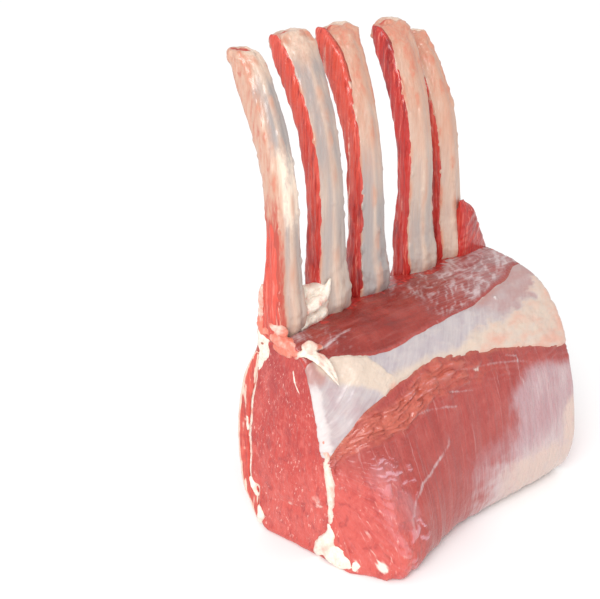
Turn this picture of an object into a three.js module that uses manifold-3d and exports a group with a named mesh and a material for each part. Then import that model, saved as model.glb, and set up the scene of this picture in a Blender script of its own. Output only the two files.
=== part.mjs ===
// A French-trimmed rack of lamb, raw, with five ribs and its cap taken off. It stands on the chine
// edge with the rib ends up. Millimetres, +Z up. X runs along the back from the near cut face to the
// far one, the side that faced the skin looks to -Y, and the side that faced the chest looks to +Y.
import * as THREE from "three";
import { mergeVertices } from "three/addons/utils/BufferGeometryUtils.js";
import Module from "manifold-3d";

const wasm = await Module();
wasm.setup();

// Driving dimensions.
const LENGTH = 100; // near cut face to far cut face, along the outer side
const SLANT = 0.15; // how much further back the far cut reaches per mm towards the chest side
const GAP = 0.3; // clearance between pieces that touch
const SILVERSKIN = 1.2; // thickness of the band of silverskin and fat on the outer side
const SEAM = 1.0; // thickness of the fat between the eye muscle and the rib wall
const RIB_MEAT = 1.8; // thickness of the meat left on the side of a rib
const OVERRUN = 16; // how far a cutting solid runs past what it cuts
const RING = 4; // straight steps between two points of an outline

// Each rib: where it stands along X and how wide it is where it leaves the meat (foot), halfway up
// (shaft) and at its cut end (tip), the height of that end, and how far that end leans in (lean).
const RIBS = [
  { at: { foot: 5.4, shaft: 3.9, tip: 4.2 }, width: { foot: 9.0, shaft: 8.0, tip: 7.8 }, top: 158.5, lean: 0 },
  { at: { foot: 26.2, shaft: 24.6, tip: 26.6 }, width: { foot: 10.8, shaft: 9.6, tip: 12.2 }, top: 162, lean: 0 },
  { at: { foot: 47.0, shaft: 44.8, tip: 47.6 }, width: { foot: 10.6, shaft: 8.8, tip: 11.4 }, top: 161, lean: 0 },
  { at: { foot: 73.2, shaft: 71.8, tip: 74.4 }, width: { foot: 11.4, shaft: 10.0, tip: 12.0 }, top: 159, lean: 0 },
  { at: { foot: 92.0, shaft: 87.2, tip: 87.6 }, width: { foot: 10.8, shaft: 8.8, tip: 8.8 }, top: 153.5, lean: 3 },
];
const FOOT = 78; // height where the ribs leave the meat
const SHAFT = 125; // height halfway up them
const ROOT = 9; // height where they start, above the chine edge

// A smooth function of one number through the [at, value] knots, level beyond the first and last.
function along(...knots) {
  const slope = knots.map((k, i) => {
    const a = knots[Math.max(i - 1, 0)];
    const b = knots[Math.min(i + 1, knots.length - 1)];
    return i === 0 || i === knots.length - 1 ? 0 : (b[1] - a[1]) / (b[0] - a[0]);
  });
  return (at) => {
    if (at <= knots[0][0]) return knots[0][1];
    const i = knots.findIndex((k) => k[0] >= at);
    if (i < 0) return knots.at(-1)[1];
    const [a, b] = [knots[i - 1], knots[i]];
    const span = b[0] - a[0];
    const t = (at - a[0]) / span;
    const [t2, t3] = [t * t, t * t * t];
    return (
      a[1] * (2 * t3 - 3 * t2 + 1) + slope[i - 1] * span * (t3 - 2 * t2 + t) +
      b[1] * (3 * t2 - 2 * t3) + slope[i] * span * (t3 - t2)
    );
  };
}

// The eye of meat, seen along X: how far each level of the section reaches, which changes along it.
const crestHeight = along([0, 74], [30, 75.2], [LENGTH, 75.8]);
const crest = along([0, 25], [20, 21], [LENGTH, 12]);
const shoulder = along([0, 18.2], [10, 12], [45, 4], [LENGTH, -3.4]);
const flank = along([0, 13.6], [9, 5], [45, -6], [LENGTH, -14.4]);
const belly = along([0, 9.2], [8, -4], [45, -12.5], [LENGTH, -21]);
const low = along([0, 5.6], [7, -13], [40, -14.5], [LENGTH, -22.6]);
const foot = along([0, -3.4], [6, -15.5], [40, -12], [LENGTH, -17.5]);
const heel = along([0, 38], [LENGTH, 22]);
const innerLow = along([0, 46.5], [LENGTH, 35]);
const innerMid = along([0, 48.6], [LENGTH, 41]);
const innerHigh = along([0, 45], [LENGTH, 42]);
const brow = along([0, 37], [LENGTH, 35.5]);

// The section's outline at x, as points [y, z] going round from the outer foot over the crest to
// the heel. It dips under the floor between foot and heel, and what is below the floor is cut flat.
function sectionPoints(x) {
  const top = crestHeight(x);
  return [
    [foot(x), 2.5],
    [low(x), 15],
    [belly(x), 34],
    [flank(x), 54],
    [shoulder(x), top * 0.91],
    [crest(x), top],
    [brow(x), top * 0.965],
    [innerHigh(x), 57],
    [innerMid(x), 37],
    [innerLow(x), 14],
    [heel(x), -0.5],
    [(foot(x) + heel(x)) / 2, -1.5],
  ];
}

// The same outline as a smooth closed ring of points, moved inward by inset.
function sectionRing(x, inset = 0) {
  const corners = sectionPoints(x).map(([y, z]) => new THREE.Vector3(0, y, z));
  const curve = new THREE.CatmullRomCurve3(corners, true, "centripetal");
  const ring = curve.getPoints(corners.length * RING).slice(0, -1);
  return ring.map((p, i) => {
    const before = ring[(i + ring.length - 1) % ring.length];
    const after = ring[(i + 1) % ring.length];
    const way = after.clone().sub(before).normalize();
    const y = p.y + way.z * inset;
    const z = Math.max(p.z - way.y * inset, Math.max(inset, 0));
    return new THREE.Vector3(x + (x / LENGTH) * SLANT * (p.y + 20), y, z);
  });
}

// A closed solid through rings of points, flat at both ends.
function loft(rings) {
  const n = rings[0].length;
  const flat = rings.flat();
  const faces = [];
  for (let r = 0; r + 1 < rings.length; r++)
    for (let i = 0; i < n; i++) {
      const j = (i + 1) % n;
      const [a, b, c, d] = [r * n + i, r * n + j, (r + 1) * n + j, (r + 1) * n + i];
      faces.push(a, b, c, a, c, d);
    }
  for (const [ring, start, turn] of [[rings[0], 0, -1], [rings.at(-1), flat.length - n, 1]]) {
    const side = new THREE.Vector3().subVectors(ring[Math.floor(n / 4)], ring[0]).normalize();
    const across = new THREE.Vector3().subVectors(ring[Math.floor(n / 2)], ring[0]);
    const up = new THREE.Vector3().crossVectors(new THREE.Vector3().crossVectors(side, across), side);
    up.normalize();
    const outline = ring.map((p) => new THREE.Vector2(p.dot(side), p.dot(up)));
    const asListed = Math.sign(THREE.ShapeUtils.area(outline)) === turn;
    for (const [i, j, k] of THREE.ShapeUtils.triangulateShape(outline, []))
      faces.push(start + i, start + (asListed ? j : k), start + (asListed ? k : j));
  }
  const geometry = new THREE.BufferGeometry().setFromPoints(flat).setIndex(faces);
  return solid(geometry);
}

// A manifold-3d solid from a closed geometry, whichever way round its faces were listed.
function solid(geometry) {
  const merged = mergeVertices(geometry, 1e-4);
  const triVerts = new Uint32Array(merged.index.array);
  const vertProperties = merged.attributes.position.array;
  const made = new wasm.Manifold(new wasm.Mesh({ numProp: 3, vertProperties, triVerts }));
  if (made.volume() > 0) return made;
  triVerts.reverse();
  return new wasm.Manifold(new wasm.Mesh({ numProp: 3, vertProperties, triVerts }));
}

// Stations along X, closer together where the outer side swells out behind the near cut.
const stations = [0, 2, 4.5, 8, 13, 20];
while (stations.at(-1) < LENGTH - 1) stations.push(stations.at(-1) + 10);

// The whole eye of meat with its rib wall, inset all round but for the two cut faces.
function body(inset = 0) {
  const reach = inset < 0 ? -inset : 0;
  const rings = stations.map((x) => sectionRing(x, inset));
  const past = reach + (inset > 0 ? OVERRUN : 0);
  rings.unshift(rings[0].map((p) => p.clone().setX(p.x - past)));
  rings.push(rings.at(-1).map((p) => p.clone().setX(p.x + past)));
  return loft(inset === 0 ? rings.slice(1, -1) : rings);
}

// Where the fat seam stands, from the floor up: it follows the inner side, then leans over the
// rib feet to the crest.
const wallThickness = along([14, 6.8], [38, 7.2], [57, 9.6], [68, 16], [80, 23]);
function seamAt(x, z) {
  const inner = along([0, innerLow(x) + 0.8], [14, innerLow(x)], [37, innerMid(x)], [57, innerHigh(x)],
    [72, brow(x) + 3], [80, brow(x) + 2]);
  return inner(z) - wallThickness(z);
}

// Everything on the chest side of the seam, moved by shift towards +Y.
function chestSide(shift) {
  const levels = [-OVERRUN, 6, 18, 30, 42, 52, 60, 66, 72, 78, 78 + OVERRUN];
  return loft(
    [-OVERRUN, 0, 30, 65, LENGTH, LENGTH + 2 * OVERRUN].map((x) => [
      ...levels.map((z) => new THREE.Vector3(x, seamAt(x, z) + shift, z)),
      new THREE.Vector3(x, 120, levels.at(-1)),
      new THREE.Vector3(x, 120, levels[0]),
    ]),
  );
}

// The line of a rib: from its root at the chine, outward over the eye, and in again to its tip.
const ribLine = along([ROOT, 44.6], [22, 45.8], [38, 46.6], [50, 45.2], [60, 41.6], [FOOT, 31.6],
  [90, 32.2], [104, 32], [118, 32.4], [130, 34.4], [140, 37.8], [150, 42.2], [165, 49.4]);
const ribDepth = along([ROOT, 4.8], [38, 5.4], [57, 7.4], [FOOT, 11.4], [90, 10], [110, 9.2], [165, 10]);

// How far the inner side has moved towards -Y at x, which the roots of the ribs follow.
function ribShift(x, z) {
  const moved = along([ROOT, innerLow(x) - innerLow(0)], [37, innerMid(x) - innerMid(0)],
    [62, innerHigh(x) - innerHigh(0)], [90, 0]);
  return moved(z);
}

// Where the middle of a rib is at a height, and its width there.
function ribCentre(rib, z) {
  const x = along([40, rib.at.foot + 1.6], [FOOT, rib.at.foot], [SHAFT, rib.at.shaft], [rib.top, rib.at.tip])(z);
  const lean = along([SHAFT, 0], [rib.top, rib.lean])(z);
  return new THREE.Vector3(x, ribLine(z) + ribShift(x, z) + lean, z);
}
function ribWidth(rib, z) {
  const { foot, shaft, tip } = rib.width;
  return along([ROOT, foot * 0.66], [50, foot * 0.74], [FOOT, foot], [SHAFT, shaft], [rib.top - 22, shaft * 1.06],
    [rib.top, tip])(z);
}

// A point of a rib's section, from an angle: a rectangle with rounded corners.
function roundedCorner(angle) {
  const round = (v) => Math.sign(v) * Math.abs(v) ** 0.45;
  return [round(Math.cos(angle)), round(Math.sin(angle))];
}

// One rib, grown all round by extra. Its cut end is a little smaller than the bone below it.
function ribSolid(rib, extra = 0) {
  const heights = [ROOT, 24, 38, 50, 60, 69, FOOT, 90, 104, 118, 130, 140, 148, rib.top - 2.5, rib.top];
  const rings = heights.map((z) => {
    const centre = ribCentre(rib, z);
    const lean = new THREE.Vector2(2, ribLine(z - 1) - ribLine(z + 1)).normalize();
    const end = z === rib.top ? extra : z === ROOT ? -extra : 0;
    return Array.from({ length: 12 }, (_, i) => {
      const [u, v] = roundedCorner(((i + 0.5) / 12) * 2 * Math.PI);
      const size = z === rib.top ? 0.74 : 1;
      const w = u * ((size * ribWidth(rib, z)) / 2 + extra);
      const d = v * ((size * ribDepth(z)) / 2 + extra);
      return new THREE.Vector3(centre.x + w, centre.y + d * lean.x, z + d * lean.y + end);
    });
  });
  return loft(rings);
}

// The thin strip of meat left on the near side of a rib, from the loin up to a height.
function ribMeatSolid(rib, to) {
  const from = 64;
  const count = Math.ceil((to - from) / 9);
  const rings = Array.from({ length: count + 1 }, (_, i) => {
    const z = from + ((to - from) * i) / count;
    const centre = ribCentre(rib, z);
    const x = centre.x - ribWidth(rib, z) / 2 - GAP;
    const half = ribDepth(z) * 0.36;
    const thick = RIB_MEAT;
    return [
      [0, -half], [0, half], [-thick * 0.6, half * 0.86], [-thick, half * 0.3],
      [-thick, -half * 0.4], [-thick * 0.6, -half * 0.9],
    ].map(([dx, dy]) => new THREE.Vector3(x + dx, centre.y + dy, z));
  });
  return loft(rings).subtract(body(-GAP));
}

// A solid of an outline drawn in X and Z, running from y = low to y = high.
function acrossRack(outline, lowY, highY) {
  const shape = new THREE.Shape(outline.map(([x, z]) => new THREE.Vector2(x, z)));
  const geometry = new THREE.ExtrudeGeometry(shape, { depth: highY - lowY, bevelEnabled: false });
  geometry.deleteAttribute("normal").deleteAttribute("uv");
  geometry.rotateX(Math.PI / 2).translate(0, highY, 0);
  return solid(geometry);
}

// The patch of the outer side that silverskin covers: a band along the shoulder that widens to the
// near corner and runs down the edge of the near cut.
function silverskinPatch(g) {
  const end = LENGTH + OVERRUN;
  const outline = [
    [-OVERRUN, 17 - g], [1.6 + g, 17 - g], [2.8 + g, 38 - g], [9 + g, 50 - g], [22, 57 - g], [40, 61 - g],
    [58, 60.5 - g], [end, 51 - g], [end, 72 + g], [64, 72 + g], [40, 70 + g], [16, 67 + g], [-OVERRUN, 66 + g],
  ];
  return acrossRack(outline, -60, 21);
}

// The fat beside the backbone: a rod along the foot of the eye, flat on the floor.
function chineFatRod(grow) {
  const centre = along([0, 4.5], [12, 6], [LENGTH, -2]);
  const rings = [-OVERRUN, 0, 12, 40, LENGTH, LENGTH + OVERRUN].map((x) =>
    Array.from({ length: 16 }, (_, i) => {
      const angle = (i / 16) * 2 * Math.PI;
      const y = centre(x) + Math.cos(angle) * (8.6 + grow);
      return new THREE.Vector3(x, y, 2 + Math.sin(angle) * (8.4 + grow));
    }),
  );
  return loft(rings);
}

// The flap of rib meat left standing behind the last rib.
function endFlapSolid(rib) {
  const x = rib.at.foot;
  const outline = [[x, 64], [x + 14, 64], [x + 13.6, 75], [x + 11, 79], [x + 8, 85.5], [x + 4.8, 94], [x, 97]];
  return acrossRack(outline, ribLine(FOOT) - 7.5, ribLine(FOOT) - 3);
}

const materials = {
  meat: new THREE.MeshStandardMaterial({ color: 0xc4524b, roughness: 0.42, metalness: 0 }),
  ribMeat: new THREE.MeshStandardMaterial({ color: 0xb02a2a, roughness: 0.38, metalness: 0 }),
  fat: new THREE.MeshStandardMaterial({ color: 0xf0dfc8, roughness: 0.5, metalness: 0 }),
  silverskin: new THREE.MeshStandardMaterial({ color: 0xd9cfcb, roughness: 0.35, metalness: 0 }),
  bone: new THREE.MeshStandardMaterial({ color: 0xddc7b4, roughness: 0.45, metalness: 0 }),
};

const rack = new THREE.Group();

// Adds a solid to the rack as a named mesh.
function add(name, shape, material) {
  const { vertProperties, triVerts, numProp, numVert } = shape.getMesh();
  const position = new Float32Array(numVert * 3);
  for (let i = 0; i < numVert; i++)
    position.set(vertProperties.subarray(i * numProp, i * numProp + 3), i * 3);
  const geometry = new THREE.BufferGeometry();
  geometry.setAttribute("position", new THREE.BufferAttribute(position, 3));
  geometry.setIndex(new THREE.BufferAttribute(new Uint32Array(triVerts), 1));
  geometry.computeVertexNormals();
  const mesh = new THREE.Mesh(geometry, material);
  mesh.name = name;
  rack.add(mesh);
}

const ribSolids = RIBS.map((rib) => ribSolid(rib));
const ribRoom = RIBS.map((rib) => ribSolid(rib, GAP)).reduce((all, one) => all.add(one));
const whole = body();
const skinRoom = silverskinPatch(GAP).subtract(body(SILVERSKIN + GAP));
const fatRoom = chineFatRod(GAP);
const wallStart = SEAM + GAP;

add("loin", whole.subtract(chestSide(-GAP)).subtract(skinRoom).subtract(fatRoom).subtract(ribRoom),
  materials.meat);
add("silverskin", whole.intersect(silverskinPatch(0)).subtract(body(SILVERSKIN)).subtract(chestSide(-GAP)),
  materials.silverskin);
add("fat_seam", whole.intersect(chestSide(0)).subtract(chestSide(SEAM)).subtract(fatRoom).subtract(ribRoom),
  materials.fat);
add("rib_wall", whole.intersect(chestSide(wallStart)).subtract(fatRoom).subtract(ribRoom),
  materials.ribMeat);
add("chine_fat", whole.intersect(chineFatRod(0)).subtract(chestSide(-GAP)), materials.fat);
ribSolids.forEach((shape, i) => add(`rib_${i + 1}`, shape, materials.bone));
RIBS.forEach((rib, i) => {
  const strip = ribMeatSolid(rib, i === 0 ? 104 : rib.top - 4);
  add(`rib_meat_${i + 1}`, strip, materials.ribMeat);
});
add("end_flap", endFlapSolid(RIBS.at(-1)).subtract(body(-GAP)).subtract(ribRoom), materials.ribMeat);

// The origin goes to the middle of the underside.
const box = new THREE.Box3().setFromObject(rack);
rack.position.set(-(box.min.x + box.max.x) / 2, -(box.min.y + box.max.y) / 2, -box.min.z);

export default rack;
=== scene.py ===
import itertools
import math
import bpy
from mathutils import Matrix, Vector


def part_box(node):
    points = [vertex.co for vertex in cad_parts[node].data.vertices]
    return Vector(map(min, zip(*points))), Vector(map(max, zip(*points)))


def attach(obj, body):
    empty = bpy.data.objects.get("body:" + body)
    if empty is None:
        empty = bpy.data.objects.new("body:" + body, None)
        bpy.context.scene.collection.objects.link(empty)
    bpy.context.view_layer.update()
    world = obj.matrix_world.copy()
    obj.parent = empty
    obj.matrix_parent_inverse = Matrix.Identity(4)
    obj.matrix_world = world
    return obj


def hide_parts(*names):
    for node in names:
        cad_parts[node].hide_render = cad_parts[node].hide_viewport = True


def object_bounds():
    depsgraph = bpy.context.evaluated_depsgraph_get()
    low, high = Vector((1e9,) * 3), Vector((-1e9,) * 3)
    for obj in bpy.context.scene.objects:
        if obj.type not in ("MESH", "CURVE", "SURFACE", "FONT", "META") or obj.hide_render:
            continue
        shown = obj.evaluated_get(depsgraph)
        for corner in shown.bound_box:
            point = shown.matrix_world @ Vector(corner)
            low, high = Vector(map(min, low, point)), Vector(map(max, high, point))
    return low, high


bl_info = {
    "name": "Rack of lamb",
    "version": (1, 0, 0),
    "blender": (4, 5, 0),
    "location": "View3D > Sidebar > Rack",
    "description": "A raw French-trimmed rack of lamb with five ribs, built on its CAD frame",
    "category": "Object",
}

import bpy
import numpy as np
from mathutils import Vector
from mathutils.bvhtree import BVHTree

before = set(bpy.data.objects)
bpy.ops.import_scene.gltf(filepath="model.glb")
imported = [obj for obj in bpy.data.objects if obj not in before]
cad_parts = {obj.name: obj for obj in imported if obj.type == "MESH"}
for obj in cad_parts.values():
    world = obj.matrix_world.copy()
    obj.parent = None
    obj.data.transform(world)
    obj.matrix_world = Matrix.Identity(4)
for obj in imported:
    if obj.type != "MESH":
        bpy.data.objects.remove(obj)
CAD_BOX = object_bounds()

# Rack millimetres: X from the near cut face along the back, Y from the outermost side towards the
# chest, Z up from the floor. MM turns them to metres.
MM = 0.001
CORNER = np.array([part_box("loin")[0].x, CAD_BOX[0].y, CAD_BOX[0].z]) / MM
LENGTH = 100.0  # near cut face to far cut face along the outer side
SLANT = 0.0015  # how far the far cut reaches back, per mm of length and mm towards the chest
SLANT_FROM = 2.9  # the Y where the length is measured
AXIS_NEAR, AXIS_TURN, AXIS_HEIGHT = 48.9, -0.15, 38.0  # the line inside the eye that radii start on
RIB_COUNT = 5
SEAM = 1.1  # thickness of the fat seam
FEET = 50.0  # Y where the ribs leave the meat
UP = 0.5 * math.pi  # the angle round the axis that points straight up


# ---------------------------------------------------------------- sizes and colours


def linear(code):
    """The linear colour of an sRGB hex value."""
    parts = [int(code[i : i + 2], 16) / 255 for i in (0, 2, 4)]
    return [c / 12.92 if c <= 0.04045 else ((c + 0.055) / 1.055) ** 2.4 for c in parts]


def colour(name, description, code):
    return bpy.props.FloatVectorProperty(
        name=name, description=description, default=linear(code), subtype="COLOR", size=3, min=0, max=1
    )


def depth(name, description, millimetres):
    return bpy.props.FloatProperty(
        name=name, description=description, default=millimetres * MM, unit="LENGTH", min=0, max=5 * MM
    )


class RackMeat(bpy.types.PropertyGroup):
    cut: colour("Cut meat", "Muscle on the two cut faces", "b2322b")
    flank: colour("Outer meat", "Muscle under its own membrane", "a03d37")
    ridge: colour("Dried ridge", "The wrinkled edge where the cap was pulled away", "b85a48")
    strip: colour("Upper strip", "Darker muscle between the silverskin and the ribs", "8a2419")
    flesh: colour("Rib flesh", "Meat left beside the ribs", "ae2822")
    wrinkle: depth("Wrinkle depth", "Height of the wrinkles below the silverskin", 1.7)
    fibre: depth("Fibre depth", "Height of the muscle fibres", 0.2)


class RackFat(bpy.types.PropertyGroup):
    fat: colour("Fat", "Hard fat at the seams and lumps", "ebdfd1")
    cream: colour("Cream fat", "Thin fat on the silverskin", "cbb8a8")
    film: colour("Silverskin", "The blue-grey membrane over the shoulder", "b4a9aa")
    thickness: depth("Silverskin thickness", "How far the band stands above the meat", 0.5)


class RackBone(bpy.types.PropertyGroup):
    ivory: colour("Bone", "Scraped rib bone", "c9af9d")
    shade: colour("Grey stripe", "The stripe where marrow darkens the bone", "9c9390")
    blush: colour("Blush", "Blood-stained bone at edges and ends", "c08f78")
    relief: depth("Bone relief", "Depth of the scraping marks", 0.3)


class RackStage(bpy.types.PropertyGroup):
    floor: colour("Floor", "The pale floor", "fbfbfb")
    key: bpy.props.FloatProperty(
        name="Key light", description="Strength of the soft light from the near end", default=1.6, min=0,
        max=20
    )
    spread: bpy.props.FloatProperty(
        name="Key spread", description="How wide the key light is", default=math.radians(35), subtype="ANGLE"
    )
    softbox: bpy.props.FloatProperty(
        name="Softbox", description="Power of the small light that makes the wet glints", default=2.4,
        unit="POWER"
    )
    room: bpy.props.FloatProperty(
        name="Room light", description="Brightness of the white room", default=0.8, min=0, max=4
    )
    lens: bpy.props.FloatProperty(
        name="Lens", description="Focal length of the camera", default=72.0, unit="CAMERA"
    )


GROUPS = {"rack_meat": RackMeat, "rack_fat": RackFat, "rack_bone": RackBone, "rack_stage": RackStage}


# ---------------------------------------------------------------- numbers


def step(value, low, high):
    """0 below low, 1 above high, smooth between. High may be the smaller one."""
    t = np.clip((value - low) / (high - low), 0, 1)
    return t * t * (3 - 2 * t)


def along(at, knots, values=None):
    """A smooth line through knots, level beyond them. Values may have several columns."""
    if values is None:
        knots, values = np.array(knots, float).T
    knots, values = np.asarray(knots, float), np.asarray(values)
    slope = np.zeros_like(values)
    spans = (knots[2:] - knots[:-2]).reshape(-1, *[1] * (values.ndim - 1))
    slope[1:-1] = (values[2:] - values[:-2]) / spans
    at = np.clip(at, knots[0], knots[-1])
    i = np.clip(np.searchsorted(knots, at, side="right") - 1, 0, len(knots) - 2)
    span = knots[i + 1] - knots[i]
    t = (at - knots[i]) / span
    if values.ndim > 1:
        t, span = t[..., None], span[..., None]
    t2, t3 = t * t, t * t * t
    return (
        values[i] * (2 * t3 - 3 * t2 + 1)
        + slope[i] * span * (t3 - 2 * t2 + t)
        + values[i + 1] * (3 * t2 - 2 * t3)
        + slope[i + 1] * span * (t3 - t2)
    )


def noise(points, size, seed):
    """Smooth noise from -1 to 1. Size is the grain in mm, one number or one for each axis."""
    p = np.asarray(points) / np.asarray(size, float)
    cell = np.floor(p).astype(np.int64)
    f = p - cell
    w = f * f * f * (f * (f * 6 - 15) + 10)
    total = np.zeros(p.shape[:-1])
    for corner in itertools.product((0, 1), repeat=3):
        q = (cell + corner) & 0xFFFFF
        h = (q[..., 0] * 73856093) ^ (q[..., 1] * 19349663) ^ (q[..., 2] * 83492791) ^ (seed * 668265263)
        h &= 0xFFFFFFFF
        h = ((h ^ (h >> 13)) * 1274126177) & 0xFFFFFFFF
        h ^= h >> 16
        d = f - corner
        slope = ((h & 1023) * d[..., 0] + ((h >> 10) & 1023) * d[..., 1]
            + ((h >> 20) & 1023) * d[..., 2]) / 511.5
        slope -= d.sum(-1)
        c = np.array(corner)
        total += slope * np.prod(np.where(c == 1, w, 1 - w), axis=-1)
    return np.clip(total * 1.3, -1, 1)


def rough(points, size, octaves, seed):
    """Noise with finer grains on top, each half the size and half the height of the last."""
    size = np.asarray(size, float)
    return sum(noise(points, size / 2**i, seed + i) / 2**i for i in range(octaves)) / (2 - 2 ** (1 - octaves))


def creased(points, size, octaves, seed):
    """Noise with sharp valleys between rounded folds, from 0 in a valley to 1."""
    size = np.asarray(size, float)
    folds = [np.abs(noise(points, size / 1.9**i, seed + i)) / 1.9**i for i in range(octaves)]
    return np.clip(sum(folds) * 1.3, 0, 1)


# ---------------------------------------------------------------- the body's skin


def in_rack(node):
    """The vertices and faces of a CAD node, in rack mm."""
    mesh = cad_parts[node].data
    points = np.array([v.co for v in mesh.vertices]) / MM - CORNER
    return points, [tuple(p.vertices) for p in mesh.polygons]


def tree_of(*nodes):
    """A search tree of several CAD nodes together."""
    points, faces = [], []
    for name in nodes:
        start = len(points)
        found, polygons = in_rack(name)
        points.extend(found.tolist())
        faces.extend(tuple(start + i for i in p) for p in polygons)
    return BVHTree.FromPolygons(points, faces)


def section(node, height):
    """Middle x, middle y, half width and half depth of a CAD node where a level plane cuts it."""
    points, faces = in_rack(node)
    edges = np.array(sorted({tuple(sorted(e)) for f in faces for e in zip(f, f[1:] + f[:1])}))
    a, b = points[edges[:, 0]], points[edges[:, 1]]
    crossing = (a[:, 2] - height) * (b[:, 2] - height) < 0
    a, b = a[crossing], b[crossing]
    t = (height - a[:, 2:]) / (b[:, 2:] - a[:, 2:])
    cut = (a + (b - a) * t)[:, :2]
    low, high = cut.min(0), cut.max(0)
    return (*((low + high) / 2), *((high - low) / 2))


RIB_HEIGHTS = [10.5, 24, 38, 50, 60, 69, 78, 90, 104, 118, 130, 140]
RIB_TOPS = {n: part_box(f"rib_{n}")[1].z / MM - CORNER[2] for n in range(1, RIB_COUNT + 1)}


def rib_line(n):
    """Heights up rib n, with its middle x, middle y, half width and half depth at each."""
    heights = [*RIB_HEIGHTS, RIB_TOPS[n] - 10, RIB_TOPS[n] - 5.5]
    rows = [section(f"rib_{n}", z) for z in heights]
    end = np.array(rows[-1]) + (np.array(rows[-1]) - rows[-2]) * [1.2, 1.2, 0, 0]
    return [*heights, RIB_TOPS[n]], np.array([*rows, end])


RIB_LINES = {n: rib_line(n) for n in RIB_TOPS}


def rib_at(n, z):
    """Middle x, middle y, half width and half depth of rib n at heights z."""
    return along(z, *RIB_LINES[n])


def axis(s):
    return AXIS_NEAR + AXIS_TURN * s


def place(s, angle, radius):
    """The point at a station, an angle round the axis and a radius, in rack mm."""
    y = axis(s) - radius * np.cos(angle)
    z = np.maximum(AXIS_HEIGHT + radius * np.sin(angle), 0.02)
    return np.stack(np.broadcast_arrays(s + s * SLANT * (y - SLANT_FROM), y, z), -1)


STATIONS = np.array([0.4, 1.4, 2.6, 4, 6, 8.5, 11.5, 15, 20, 26, 33, 41, 50, 60, 70, 80, 88, 94, 99.4])
ANGLES = np.arange(180) * (2 * math.pi / 180)
WAVES = 34  # how many waves round the girth the skin keeps: rounder than the facets it is cast on


def girth(tree, blocked_from, blocked_to):
    """The waves of the radius round each station. Between the two angles, stations at a rib are
    filled in from the gaps beside it.
    """
    radii = np.zeros((len(STATIONS), len(ANGLES)))
    for i, s in enumerate(STATIONS):
        for j, angle in enumerate(ANGLES):
            inside, outside = place(s, angle, 1.0), place(s, angle, 90.0)
            outside[2] = AXIS_HEIGHT + 90 * math.sin(angle)
            way = Vector(inside - outside).normalized()
            hit = tree.ray_cast(Vector(outside), way)[0]
            radii[i, j] = math.hypot(hit.y - axis(s), hit.z - AXIS_HEIGHT)
    for j, angle in enumerate(ANGLES):
        if blocked_from < angle < blocked_to:
            height = np.clip(AXIS_HEIGHT + 36 * math.sin(angle), 11, 78)
            clear = []
            for s in STATIONS:
                x = place(s, angle, 35)[0]
                ribs = [rib_at(n, np.array(height)) for n in RIB_TOPS]
                clear.append(all(abs(x - r[0]) > r[2] + 0.7 for r in ribs))
            clear = np.array(clear)
            radii[:, j] = np.interp(STATIONS, STATIONS[clear], radii[clear, j])
    waves = np.fft.rfft(radii, axis=1)[:, : WAVES + 1] / len(ANGLES)
    waves[:, 1:] *= 2 * np.exp(-((np.arange(1, WAVES + 1) / (0.75 * WAVES)) ** 4))
    return waves


EYE = ("loin", "silverskin", "chine_fat")
EYE_GIRTH = girth(tree_of(*EYE), math.radians(55), math.radians(130))
WHOLE_GIRTH = girth(tree_of(*EYE, "fat_seam", "rib_wall"), math.radians(55), math.radians(235))


def radius(waves, s, angle):
    """The radius at stations s and angles, from the waves of a girth."""
    s, angle = np.broadcast_arrays(np.asarray(s, float), np.asarray(angle, float))
    turns = np.exp(1j * angle[..., None] * np.arange(WAVES + 1))
    return (along(s, STATIONS, waves) * turns).sum(-1).real


RIM = 1.6  # radius of the soft edge between side and cut face


def over_rim(w):
    """Station and inset from the skin for a way w in mm, from the near cut's edge at 0 along the
    side to SIDE, then in over the far cut.
    """
    w = np.asarray(w, float)
    quarter = RIM * math.pi / 2
    far = w > SIDE / 2
    v = np.where(far, SIDE - w, w)
    turn = np.clip(v / RIM, 0, math.pi / 2)
    s = np.where(v < quarter, RIM * (1 - np.cos(turn)), RIM + v - quarter)
    inset = np.where(v < 0, RIM - v, RIM * (1 - np.sin(turn)))
    return np.where(far, LENGTH - s, s), inset


SIDE = LENGTH - 2 * RIM + RIM * math.pi


# Where the fat seam shows in the near cut, as angles in degrees and radii.
NEAR_SEAM = [(97, 35.2), (104, 35), (110, 33.5), (115, 31.4), (124.7, 24.8), (138.7, 20.9),
    (172, 17.4), (210.7, 20.4), (228, 26.4), (240, 30)]


def eye_radius(s, angle):
    """The radius of the eye's skin. Over the crest it runs on, above the rib wall, to the rib feet,
    and at the near cut it swells out to the seam there.
    """
    eye, whole = radius(EYE_GIRTH, s, angle), radius(WHOLE_GIRTH, s, angle)
    turn = np.degrees(angle)
    swell = step(s, 15, 0) * step(turn, 94, 98) * step(turn, 240, 230)
    eye = eye + np.maximum(along(turn + 0 * eye, NEAR_SEAM) - eye, 0) * swell
    feet = AXIS_HEIGHT - 2 + 0 * eye
    reach = step(angle, np.arctan2(feet, axis(s) - FEET - 5),
        np.arctan2(feet, axis(s) - FEET)) * (angle > UP / 2)
    return eye + np.maximum(whole - eye, 0) * reach


def skin(w, angle, lift=0.0):
    """Points of the eye's skin at ways w and angles, raised by lift along the skin's own normal."""
    s, inset = over_rim(w)
    level = 1 - np.clip(inset / RIM, 0, 1)
    facing = np.sqrt(1 - level**2) * np.where(s < LENGTH / 2, -1, 1)
    return place(s + facing * lift, angle, eye_radius(s, angle) - inset + lift * level)


def angle_of(points):
    """The angle round the axis of points in rack mm."""
    p = np.asarray(points, float)
    s = p[..., 0] / (1 + SLANT * (p[..., 1] - SLANT_FROM))
    return np.arctan2(p[..., 2] - AXIS_HEIGHT, axis(s) - p[..., 1])


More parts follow.
